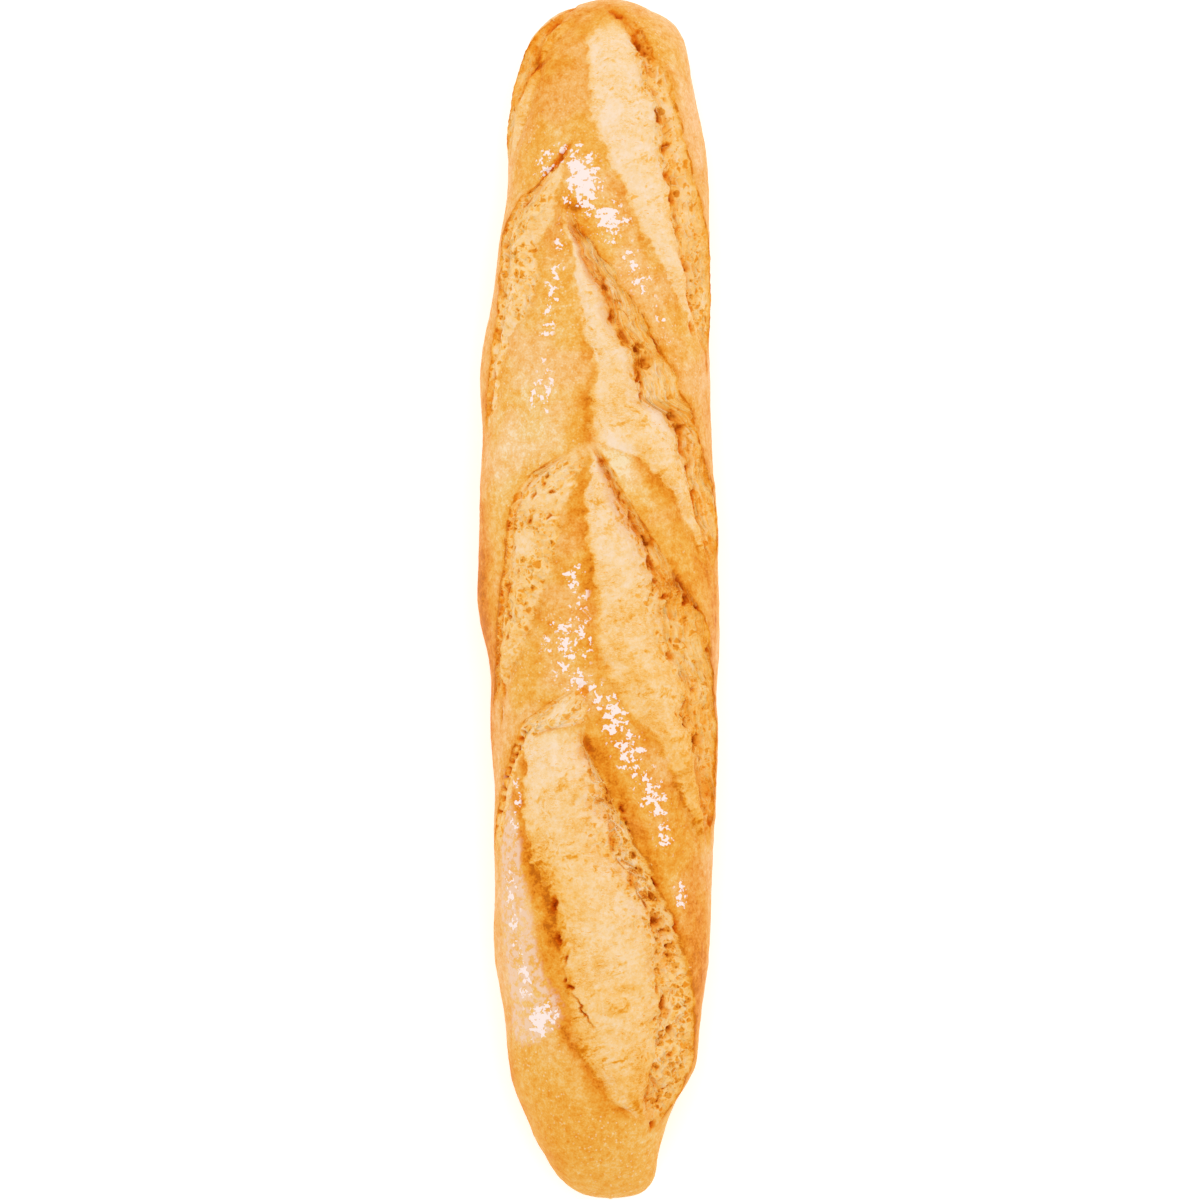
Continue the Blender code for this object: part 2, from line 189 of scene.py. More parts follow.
def ease(low, high, value):
    """0 below low, 1 above high, and a smooth step between."""
    t = np.clip((value - low) / (high - low), 0, 1)
    return t * t * (3 - 2 * t)


def rows_along(step):
    """The y of each ring of points: step apart along the loaf and, in its rounded ends, even in
    angle."""
    ends = []
    for rounding in (TAIL_ROUNDING, HEAD_ROUNDING):
        angle = np.linspace(0, np.pi / 2, math.ceil(rounding * math.pi / 2 / step) + 1)[1:-1]
        ends.append(HALF_LENGTH - rounding * (1 - np.cos(angle)))
    low, high = -HALF_LENGTH + TAIL_ROUNDING, HALF_LENGTH - HEAD_ROUNDING
    straight = np.linspace(low, high, math.ceil((high - low) / step) + 1)
    return np.concatenate([-ends[0], straight, ends[1][::-1]])


def end_cap(y):
    """How far the section has opened at y: 0 at the tips, 1 past the rounded ends."""
    head = np.minimum((HALF_LENGTH - y) / HEAD_ROUNDING, 1)
    tail = np.minimum((HALF_LENGTH + y) / TAIL_ROUNDING, 1)
    return ((1 - (1 - head) ** CAP_POWER) * (1 - (1 - tail) ** CAP_POWER)) ** (1 / CAP_POWER)


def trace_skin(y):
    """The smooth skin as a table: for each row y, the skin's half girth, and its points at even
    shares of that girth, from -1 under the loaf on the left, over the crown, to 1."""
    middle, half, level, dome = (smooth_through(BODY_STATIONS[:, 0], BODY_STATIONS[:, k], y)[:, None]
                                 for k in (1, 2, 3, 4))
    cap = end_cap(y)[:, None]
    angle = np.linspace(3 * np.pi / 2, -np.pi / 2, TRACE + 1)[None, :]
    across, up = np.cos(angle), np.sin(angle)
    power = np.where(up > 0, DOME_POWER, BOWL_POWER)
    reach = np.where(up > 0, dome, BOWL_DEPTH * level)
    x = middle + half * cap * np.sign(across) * np.abs(across) ** (2 / power)
    z = level + reach * cap * np.sign(up) * np.abs(up) ** (2 / power)
    run = np.hypot(np.diff(x, axis=1), np.diff(z, axis=1))
    length = np.concatenate([np.zeros_like(run[:, :1]), np.cumsum(run, axis=1)], axis=1)
    half_girth = length[:, -1] / 2
    share = length / half_girth[:, None] - 1
    even = np.linspace(-1, 1, SHARES + 1)
    points = np.array([np.stack([np.interp(even, share[row], x[row]), np.full(SHARES + 1, y[row]),
                                 np.interp(even, share[row], z[row])], axis=1)
                       for row in range(len(y))])
    along = np.gradient(points, axis=0)
    around = np.gradient(points, axis=1)
    outward = np.cross(around, along)
    outward /= np.linalg.norm(outward, axis=-1, keepdims=True)
    return half_girth, np.concatenate([points, outward], axis=-1)


ROWS = rows_along(PATCH_STEP)
HALF_GIRTH, SKIN = trace_skin(ROWS)


def on_skin(y, girth):
    """Point and outward direction on the smooth skin at each y and girth, read between the rows and
    shares of the skin's table."""
    row = np.clip(np.interp(y, ROWS, np.arange(len(ROWS))), 0, len(ROWS) - 1.001)
    share = girth / np.interp(y, ROWS, HALF_GIRTH)
    column = np.clip((share + 1) / 2 * SHARES, 0, SHARES - 0.001)
    i, j = row.astype(int), column.astype(int)
    s, t = (row - i)[..., None], (column - j)[..., None]
    both = ((SKIN[i, j] * (1 - t) + SKIN[i, j + 1] * t) * (1 - s)
            + (SKIN[i + 1, j] * (1 - t) + SKIN[i + 1, j + 1] * t) * s)
    return both[..., :3], both[..., 3:]


def girth_at(x, rows):
    """Girth where the upper skin is seen at x from above, for an x in each of these rows."""
    return np.array([np.interp(place, SKIN[row, UPPER, 0], UPPER_SHARES) * HALF_GIRTH[row]
                     for place, row in zip(x, rows)])


def chance(i, j, salt):
    """A repeatable number from 0 to 1 for each pair of whole numbers: the pair and the salt, which
    sets one pattern apart from the next, are multiplied by large odd numbers, and their bits are
    folded together."""
    mixed = (i.astype(np.int64) * 374761393 + j.astype(np.int64) * 668265263 + salt * 974634777)
    mixed &= 0xFFFFFFFF
    mixed = ((mixed ^ (mixed >> 13)) * 1274126177) & 0xFFFFFFFF
    return ((mixed ^ (mixed >> 16)) & 0xFFFFFF) / 0xFFFFFF


def drift(a, b, salt, octaves=3):
    """Smooth unevenness from about -1 to 1: chance at whole numbers, eased between them, with each
    octave turned, twice as fine and half as strong as the one before."""
    total = np.zeros(np.broadcast(a, b).shape)
    strength, reach = 1.0, 0.0
    for octave in range(octaves):
        i, j = np.floor(a), np.floor(b)
        s, t = a - i, b - j
        s, t = s * s * (3 - 2 * s), t * t * (3 - 2 * t)
        low = chance(i, j, salt + octave) * (1 - s) + chance(i + 1, j, salt + octave) * s
        high = chance(i, j + 1, salt + octave) * (1 - s) + chance(i + 1, j + 1, salt + octave) * s
        total += strength * (2 * (low * (1 - t) + high * t) - 1)
        reach += strength
        strength /= 2
        a, b = 1.6 * a - 1.2 * b + 7.3, 1.2 * a + 1.6 * b + 3.1
    return total / reach * 1.5


def cells(a, b, salt):
    """Rounded cells about one unit across: the distance to the nearest and to the second nearest of
    the points scattered one to a unit square, and the nearest one's own number from 0 to 1."""
    near = np.full(np.broadcast(a, b).shape, 9.0)
    second = near.copy()
    own = np.zeros_like(near)
    for step_a in (-1, 0, 1):
        for step_b in (-1, 0, 1):
            i, j = np.floor(a) + step_a, np.floor(b) + step_b
            away = np.hypot(i + chance(i, j, salt) - a, j + chance(i, j, salt + 1) - b)
            closer = away < near
            second = np.where(closer, near, np.minimum(second, away))
            own = np.where(closer, chance(i, j, salt + 2), own)
            near = np.minimum(near, away)
    return near, second, own


# Wavelength and size of the unevenness of each edge.
RAGGED = dict(lip=((6.0, 0.7), (1.7, 0.35)), root=((8.0, 0.8), (2.5, 0.4)),
              shore=((9.0, 1.2), (2.4, 0.6)))

for number, limb in enumerate(LIMBS):
    limb["number"] = number
    table = np.array(limb["stations"])[::-1]
    limb["low"], limb["high"] = table[0, 0], table[-1, 0]
    limb["calm"] = ease(0, LIMB_FADE, ROWS - limb["low"]) * ease(0, LIMB_FADE, limb["high"] - ROWS)
    for column, (edge, waves) in enumerate(RAGGED.items(), start=1):
        salt = 100 * column + 10 * number
        uneven = sum(size * drift(ROWS / wave, np.zeros_like(ROWS), salt + k, 2)
                     for k, (wave, size) in enumerate(waves))
        smooth = girth_at(smooth_through(table[:, 0], table[:, column], ROWS), range(len(ROWS)))
        limb[edge] = smooth + limb["calm"] * uneven

SHORE_MARGIN = 3.5          # crust that a cut's own mesh takes with it beyond the shore
LIP_MARGIN = 5.5            # and behind the lip
TUCK_DEPTH = 3.2            # how far a mesh keeps under the finer mesh that covers it
TUCK_FROM, TUCK_TO = 1.3, 5.0       # it drops between these distances in from that mesh's border


def edges_at(limb, y):
    """Girth of the limb's root at y, and the widths there of its torn wall and of its opening."""
    lip, root, shore = (np.interp(y, ROWS, limb[edge]) for edge in RAGGED)
    wall = np.maximum(limb["side"] * (lip - root), NARROWEST)
    opening = np.maximum(limb["side"] * (root - shore), NARROWEST)
    return root, wall, opening


def inside_patch(limb, y, girth):
    """Distance in from the border of the limb's own mesh, negative outside it."""
    root, wall, opening = edges_at(limb, y)
    past = limb["side"] * (girth - root)
    across = np.minimum(wall + LIP_MARGIN - past, past + opening + SHORE_MARGIN)
    along = np.minimum(y - limb["low"], limb["high"] - y)
    return np.minimum(across, along)


def tuck(y, girth, rank):
    """How far a mesh drops to stay under the finer meshes of the limbs numbered from rank on."""
    deepest = np.zeros(np.broadcast(y, girth).shape)
    for limb in LIMBS[rank:]:
        deepest = np.maximum(deepest, ease(TUCK_FROM, TUCK_TO, inside_patch(limb, y, girth)))
    return TUCK_DEPTH * deepest


# Browning that no edge explains: x, y, its reach across and along, its lean in degrees anticlockwise
# from the loaf's line, and how much browner (or, if negative, paler) it leaves the crust.
BAKE_SPOTS = [
    (0, 185, 14, 7, 0, 0.16), (9, 180, 2, 9, 48, 0.30), (-19, 168, 2.6, 6, -24, 0.30),
    (-14, 165, 8, 16, -12, 0.18), (-27, 160, 4, 16, -14, -0.16), (-22, 132, 8, 10, 0, 0.06),
    (-4, 130, 7, 12, 20, -0.06), (-7.5, 123, 4, 2, 0, 0.50), (-12, 118, 7, 7, 0, 0.18),
    (22, 113, 1.4, 40, 12, 0.14), (-14, 82, 8, 24, 0, -0.07), (33, 74, 1.2, 4, 0, 0.50),
    (17.5, 61, 3.6, 10, 14, -0.42), (-36, 58, 6, 14, 0, 0.14), (-3.6, 56, 3.2, 10, -4, 0.26),
    (-26, 50, 13, 16, 10, -0.20), (6.5, 43, 4.5, 7.5, 22, -0.55), (15, 42, 3, 6, 30, 0.12),
    (20, 33, 6, 24, 24, 0.15), (-32, 20, 8, 26, 0, -0.10), (-2, 10, 3, 20, 6, 0.14),
    (33, 10, 5, 26, 4, 0.23), (-12, 8, 8, 20, -20, 0.10), (22.5, 4, 4, 6, 25, 0.40),
    (-37, 2, 9, 34, 0, 0.46), (25, -1, 4, 8, 30, 0.30), (36, -18, 4, 34, 0, 0.16),
    (-36, -40, 6, 22, 0, 0.20), (4, -42, 5, 9, 25, 0.10), (-2.4, -47, 2, 6, 30, 0.55),
    (16, -62, 8, 28, 26, 0.18), (9, -65, 2.2, 26, 26, 0.30), (-9, -68, 6, 20, 14, 0.22),
    (-10, -89, 7, 12, 10, 0.24), (-17, -90, 4.5, 28, 14, 0.42), (28, -108, 4, 22, 8, 0.14),
    (31, -112, 6, 34, 4, 0.32),
    (-15, -120, 3.5, 14, 22, 0.22), (8, -121.5, 7, 1.5, 4, 0.34), (3, -128.5, 3.5, 1.5, -10, 0.25),
    (-7, -142, 2, 14, 36, 0.30), (-28, -156, 9, 26, 14, 0.20), (12, -159, 1.6, 5, 32, 0.50),
    (-14, -168, 20, 18, 0, 0.12), (-14, -178, 8, 7, 0, 0.12),
]
# Flour dusted on before baking: x, y, reach across and along, lean, and how thick it lies.
FLOUR_SPOTS = [
    (-17, 137, 6.0, 4.5, 50, 0.80), (-5.5, 131, 5.0, 8.8, 12, 1.45), (3.0, 118, 4.7, 6.2, 45, 1.15),
    (11.5, 102, 3.6, 8.0, 28, 0.72), (20, 86, 3.0, 7.0, 28, 0.45), (-15, 96, 2.6, 20.0, -4, 0.62),
    (-18, 64, 5.5, 7.0, 0, 0.55), (-8, 6, 4.0, 7.0, 10, 0.55), (-10, -12, 7.0, 8.0, -30, 0.80),
    (-7, -26, 7.0, 5.0, -40, 0.70), (4, -34, 5.5, 6.0, 30, 0.70), (9, -47, 4.6, 10.0, 25, 0.88),
    (17, -62, 4.6, 7.0, 25, 0.90), (19.5, -75, 3.0, 5.0, 10, 0.85), (25, -92, 2.8, 5.0, 5, 0.80),
    (-27, -66, 2.0, 10.0, 0, 0.85), (-27.5, -96, 3.4, 12.0, 4, 0.70), (-24, -117, 3.4, 8.0, 14, 0.85),
    (-18.5, -131, 6.0, 4.6, 50, 1.15),
]
# And where it lies as a thin veil, rubbed into the skin.
VEIL_SPOTS = [
    (-29.5, -62, 2.4, 10.0, 0, 0.8), (-28.0, -80, 4.6, 14.0, 2, 1.2), (-27.0, -100, 6.6, 13.0, 6, 1.6),
    (-24.5, -118, 7.0, 10.0, 14, 1.8), (-21, -131, 9.0, 6.0, 30, 2.0),
    (-5.0, 131, 5.0, 8.0, 12, 0.5), (10, -47, 4.0, 10.0, 25, 0.2),
]


def spread(spots, y, girth):
    """Sum over the spots of their amount times a bell curve of the distance, measured on the skin
    along and across each spot's own lean."""
    total = np.zeros(np.broadcast(y, girth).shape)
    rows = [np.argmin(np.abs(ROWS - spot[1])) for spot in spots]
    middles = girth_at([spot[0] for spot in spots], rows)
    for (_, y0, across, along, lean, amount), middle in zip(spots, middles):
        right, forward = girth - middle, y - y0
        turn = math.radians(lean)
        u = right * math.cos(turn) + forward * math.sin(turn)
        v = forward * math.cos(turn) - right * math.sin(turn)
        total += amount * np.exp(-(u / across) ** 2 - (v / along) ** 2)
    return total


CRUST_TOAST = 0.40          # how brown plain crust is, from 0, pale, to 1, dark brown
FLANK_TOAST = 0.14          # the flanks are this much browner than the crown
BURST_TOAST = 0.5           # and so is the rim of a burst bubble
BUBBLE_SIZE = 2.4           # bubbles in torn dough are about this far across
# Relief of the torn walls, in millimetres: the skins between the bubbles and the strings stand out,
# strings by more where the wall is stringy, and the bubbles and the gaps between strings are sunk.
WALL_SKIN, WALL_STRING, FIBRE_STRING, WALL_BUBBLE, WALL_GAP = 0.25, 0.10, 0.28, 1.2, 0.4
# And of the risen crumb: its lumps, threads, grain, the skins between its bubbles, and the bubbles.
CRUMB_LUMP, CRUMB_THREAD, CRUMB_GRAIN, CRUMB_SKIN, CRUMB_BUBBLE = 0.45, 0.10, 0.06, 0.16, 0.55
# How much painted shade darkens a wall's bubbles and gaps and the crumb's bubbles, from 0 to 1.
BUBBLE_SHADE, GAP_SHADE, CRUMB_BUBBLE_SHADE = 0.34, 0.16, 0.24
# How much browner torn dough gets up to its lip, in streaks, and at its shore.
LIP_TOAST, STREAK_TOAST, SHORE_TOAST = 0.34, 0.34, 0.20
# Bubbles that burst wide open and cracks at a cut's tip: x, y, reach across and along, lean in degrees
# anticlockwise from the loaf's line, and how deep each is and how much painted shade fills it.
BURSTS = [
    (-20.5, 169, 2.2, 5, -24, 1), (-24.6, 161, 1.6, 4, -14, 0.9), (-15, 181, 1.3, 3.4, -48, 0.7),
    (-9, 188, 2.2, 1.2, 0, 0.6), (-26.6, 152, 0.8, 2.4, -5, 0.6), (5.5, 184.5, 0.9, 3, 50, 0.6),
    (12.5, 175, 1.1, 5, 40, 0.75), (19.3, 151.5, 1, 2.4, 20, 0.8), (20.9, 142, 1.2, 1.5, 0, 0.8),
    (22.2, 133, 1.3, 1.6, 20, 0.7), (23.8, 126, 1.3, 2.2, 10, 0.8), (25.4, 116, 0.7, 1.4, 0, 0.4),
    (28, 104, 1, 1.3, 0, 0.9), (28.8, 94, 0.8, 1.2, 0, 0.7), (29.1, 85.5, 0.8, 2, 20, 0.6),
    (33, 85, 0.6, 1.6, 0, 0.5), (-12.4, 138.6, 0.8, 4.2, -44, 0.8), (-16.8, 133.8, 0.6, 2.6, -50, 0.5),
    (-5.4, 114.6, 1.4, 2.6, 32, 0.5), (1.3, 97.5, 0.7, 4.4, 20, 0.5), (3.6, 88.6, 0.8, 1.8, 20, 0.7),
    (7.3, 82.5, 1.5, 2.6, 35, 0.7), (11.7, 79, 1, 1.4, 0, 1), (13.8, 74.2, 2.4, 2, 30, 0.7),
    (12.8, 69.4, 0.7, 2.4, 12, 0.8), (13.4, 63.4, 0.5, 1.5, 0, 0.6), (17, 80, 0.6, 3.2, 34, 0.6),
    (24, 57.6, 0.6, 2.8, 42, 0.8), (26.4, 54, 0.9, 2, 15, 1), (27.2, 49, 1, 3, 4, 0.7),
    (28.4, 41, 0.7, 1.3, 0, 0.8), (30.6, 34, 0.8, 1.3, 0, 0.9), (32.7, 27, 0.5, 1.5, 0, 0.6),
    (1.3, 43.4, 1.2, 1.2, 60, 0.5), (3.5, 38, 0.6, 3, 20, 0.4), (6.3, 32.4, 0.7, 3, 26, 0.6),
    (10, 26.4, 0.7, 2.4, 22, 0.7), (12, 22.8, 0.7, 1.6, 20, 0.6), (15, 18.4, 1.0, 2.8, 36, 0.8),
    (16.4, 11.4, 0.7, 3, 12, 0.8), (17.9, 6.2, 0.5, 1.4, 0, 0.5), (20.6, 1, 1, 0.8, 0, 0.8),
    (26.4, 0, 1, 1.1, 0, 0.9), (29, -2.4, 0.9, 0.7, 0, 0.9), (25, 5, 0.6, 2.4, 30, 0.7),
    (22.8, -17.4, 0.8, 1.4, 0, 0.5), (32.4, -15.2, 0.7, 0.9, 0, 0.6), (29.8, -28.4, 1.2, 1.1, 30, 0.7),
    (34.2, -28.6, 0.8, 1.1, 0, 0.9), (28.2, -32.5, 0.5, 1.3, 0, 0.5), (27.8, -38.4, 0.7, 0.9, 0, 0.7),
    (30.8, -43.6, 0.9, 1.4, 0, 1), (-32.6, 83, 1.2, 2.6, 0, 0.6), (-33.4, 71, 0.6, 1.8, 0, 0.6),
    (-34.4, 62, 0.7, 4, 0, 0.6), (-31.4, 101, 0.5, 1.4, 0, 0.5), (-30.8, 96, 0.5, 1.4, 0, 0.5),
    (-16.6, 38.9, 0.6, 0.7, 0, 0.6), (-17.4, 35.8, 0.9, 0.8, 0, 0.5), (-14.8, 34, 0.6, 0.6, 0, 0.7),
    (-20.6, 32.6, 0.7, 0.8, 0, 0.6), (-20.4, 28, 1, 0.7, 0, 0.4), (-15.8, 26, 0.9, 0.5, 0, 0.6),
    (-21.8, 24.6, 0.5, 1.2, -20, 0.6), (-27.6, 16, 0.5, 0.9, 0, 0.5), (-25.6, 8.6, 0.6, 0.8, 0, 0.6),
    (-29, 2.6, 0.9, 1.6, 0, 0.9), (-28.5, -5, 0.5, 1.4, 0, 0.7), (-28.4, -11, 0.6, 0.7, 0, 0.8),
    (-31.4, -23.4, 1, 5, 10, 0.95), (-31, -35, 0.8, 2.4, 4, 0.6), (-5.4, -27.4, 1, 2.8, 10, 0.4),
    (-3, -45.6, 0.8, 2.6, 28, 0.4), (2.5, -61.6, 1.1, 2.8, 22, 0.55), (7.3, -64.5, 0.55, 1.2, 30, 0.8),
    (8.4, -68.6, 0.5, 1.1, 30, 0.7), (9.2, -72, 0.5, 1, 30, 0.6), (4, -75.6, 1.4, 2.2, 22, 0.5),
    (10.5, -79.4, 0.8, 1.1, 20, 0.7), (12, -84, 0.9, 1.1, 30, 0.7), (17.2, -88, 0.8, 1.4, 30, 1),
    (10.4, -88, 1, 1.6, 30, 0.45), (16.2, -93, 1.2, 1.9, 42, 0.9), (18.4, -100.6, 1.5, 1.4, 0, 0.95),
    (21, -103.6, 0.9, 1, 0, 0.9), (23.6, -101.6, 0.8, 2.2, 18, 0.7), (22.6, -108, 0.9, 1, 0, 0.9),
    (22.6, -111.6, 1.1, 1.2, 0, 0.9), (19, -106, 0.4, 0.5, 0, 0.7), (18.9, -121.8, 0.5, 1.5, 10, 0.6),
    (20.9, -126.8, 0.9, 2.6, -10, 0.9), (22.5, -134.6, 0.8, 1.1, 0, 1),
    (22.7, -142.4, 0.8, 1.3, -15, 0.6), (18, -146.4, 0.9, 0.7, 0, 0.5),
    (21.7, -153, 0.4, 1.7, -30, 0.8), (19.4, -157.6, 0.4, 1.4, -35, 0.7),
    (16.8, -165.6, 0.6, 1.5, -40, 0.9), (19.2, -115.8, 0.4, 0.6, 0, 0.6),
    (17.8, -131, 0.4, 0.5, 0, 0.6), (-14.6, -94.8, 0.8, 2.4, -16, 1), (-13.3, -106, 0.9, 1.7, 0, 0.9),
    (-11, -112.6, 0.4, 1.5, -15, 0.7), (-9.5, -121, 0.8, 0.7, 30, 0.8), (-11, -119, 0.5, 0.6, 0, 0.7),
    (-5.5, -128, 0.3, 5, 32, 0.7),
] + [(x, y, 1, 0.55, -20, 0.75) for x, y in (
    (-24.2, -41.2), (-25.3, -43.6), (-26.3, -46), (-27.2, -48.4), (-28, -50.8), (-28.8, -53.4),
    (-29.5, -56.2), (-30.1, -59), (-30.6, -62.4), (-31.2, -67), (-31.7, -71.5))]
BURST_DEPTH = 2.6           # millimetres of a burst of amount 1


def froth(u, v, salt):
    """One layer of bubbles: the thin skins between them, from 0 to 1, and how far each place is sunk
    into its own bubble, some bubbles being shallow and some deep."""
    near, second, own = cells(u, v, salt)
    skin = 1 - ease(0.02, 0.16, second - near)
    sunk = ease(0.05, 0.36, second - near) * ease(0.10, 0.80, own)
    return skin, sunk


def torn_wall(limb, past, wall, y, progress):
    """Relief, painted shade and toast of the wall that tore away from the lip: bubbles, drawn out along
    the lip where the dough was stringy, deepest at the wall's foot, with golden strings between them;
    the bubbles and the gaps between the strings are painted dark as shade, most at the foot. Its toast
    is palest at its foot and brownest along the lip."""
    salt, fibre = 1000 + 60 * limb["number"], limb["fibre"]
    up_wall = np.clip(past / wall, 0, 1)
    u = past + 0.7 * drift(past / 2.6, y / 3.4, salt)
    v = y + 0.9 * drift(past / 2.6, y / 3.4, salt + 3)
    drawn = 1 + 1.8 * fibre
    skin, sunk = froth(u / BUBBLE_SIZE, v / (BUBBLE_SIZE * drawn), salt + 6)
    strings = ease(0.55, 0.95, 1 - np.abs(drift(u / 1.3, v / (5.0 + 10.0 * fibre), salt + 12, 2)))
    foot = ease(1.0, 0.1, up_wall - 0.8 * ease(9, 3, wall))
    foot = foot * ease(-0.5, 0.3, drift(y / 4.0, past / 9.0, salt + 15))
    sunk = sunk * limb["bubble"] * (0.35 + 0.65 * foot)
    gaps = fibre * (1 - strings) * (0.35 + 0.65 * foot)
    under_lip = ease(1.0, 0.6, up_wall)
    relief = (under_lip * (WALL_SKIN * skin - WALL_BUBBLE * sunk - WALL_GAP * gaps)
              + (WALL_STRING + FIBRE_STRING * fibre) * strings)
    # Painted shade in the wall's bubbles and in the gaps between its strings, strongest at the foot.
    hollow = under_lip * (BUBBLE_SHADE * sunk * (1 - 0.7 * strings) + GAP_SHADE * gaps)
    start, end = limb["wall_toast"]
    toast = (start + (end - start) * progress + LIP_TOAST * ease(0.50, 1.0, up_wall) - 0.08 * foot
             + 0.16 * drift(past / 2.6, y / 5.0, salt + 18) - 0.06 * skin + 0.05 * strings)
    return relief, np.clip(hollow, 0, 1), toast


def risen_crumb(limb, past, into, y, progress):
    """Relief, painted shade in its bubbles, toast and porosity of the dough that rose in the opening:
    broad lumps, fine threads drawn across the cut, and bubbles, open all over the shallow left-hand
    tears (few in the first) and only near the root of the right-hand openings; the open bubbles are
    painted dark as shade."""
    salt = 3000 + 60 * limb["number"]
    u = past + 0.9 * drift(past / 3.0, y / 3.0, salt)
    v = y - 0.35 * past + 0.9 * drift(past / 3.0, y / 3.0, salt + 3)
    lumps = drift(past / 8.0, y / 9.0, salt + 6)
    threads = drift(u / 3.5, v / 0.8, salt + 9, 2)
    grain = drift(u / 0.7, v / 0.7, salt + 12, 2)
    if limb["side"] > 0:
        porous = 0.12 + 0.80 * ease(0.30, 0.0, into + 0.14 * lumps)
    else:
        porous = 0.8 if limb["number"] else 0.2
    porous = porous * ease(-0.9, 0.3, drift(past / 5.0, y / 6.0, salt + 30))
    skin, sunk = froth(u / BUBBLE_SIZE, v / BUBBLE_SIZE, salt + 15)
    relief = (CRUMB_LUMP * lumps * (1 + progress) + CRUMB_THREAD * threads + CRUMB_GRAIN * grain
              + porous * (CRUMB_SKIN * skin - CRUMB_BUBBLE * sunk))
    # Painted shade in the crumb's open bubbles.
    hollow = porous * CRUMB_BUBBLE_SHADE * sunk
    start, end = limb["toast"]
    streaks = (ease(0.05, 0.45, drift(u / 2.6, v / 1.3, salt + 24)) * ease(-0.6, 0.4, grain + threads)
               * ease(-0.2, 0.6, drift(past / 7.0, y / 6.0, salt + 21)))
    toast = (start + (end - start) * progress + 0.06 * threads + 0.06 * grain
             + STREAK_TOAST * streaks + 0.16 * np.clip(lumps, 0, 1) * progress
             + SHORE_TOAST * ease(0.88, 1.0, into))
    return relief, np.clip(hollow, 0, 1), toast, porous


LEAN_REACH = 1.6            # a lip leans over within about this distance of its edge
FRINGE_REACH = 0.8          # its torn fringe is browner within about this one,
FRINGE_TOAST = 0.40         # by this much
RIM_REACH = 1.7             # the crust behind the lip is browner within this one
EDGE_REACH = 5.0            # and the edge of the tongue of crust within this one


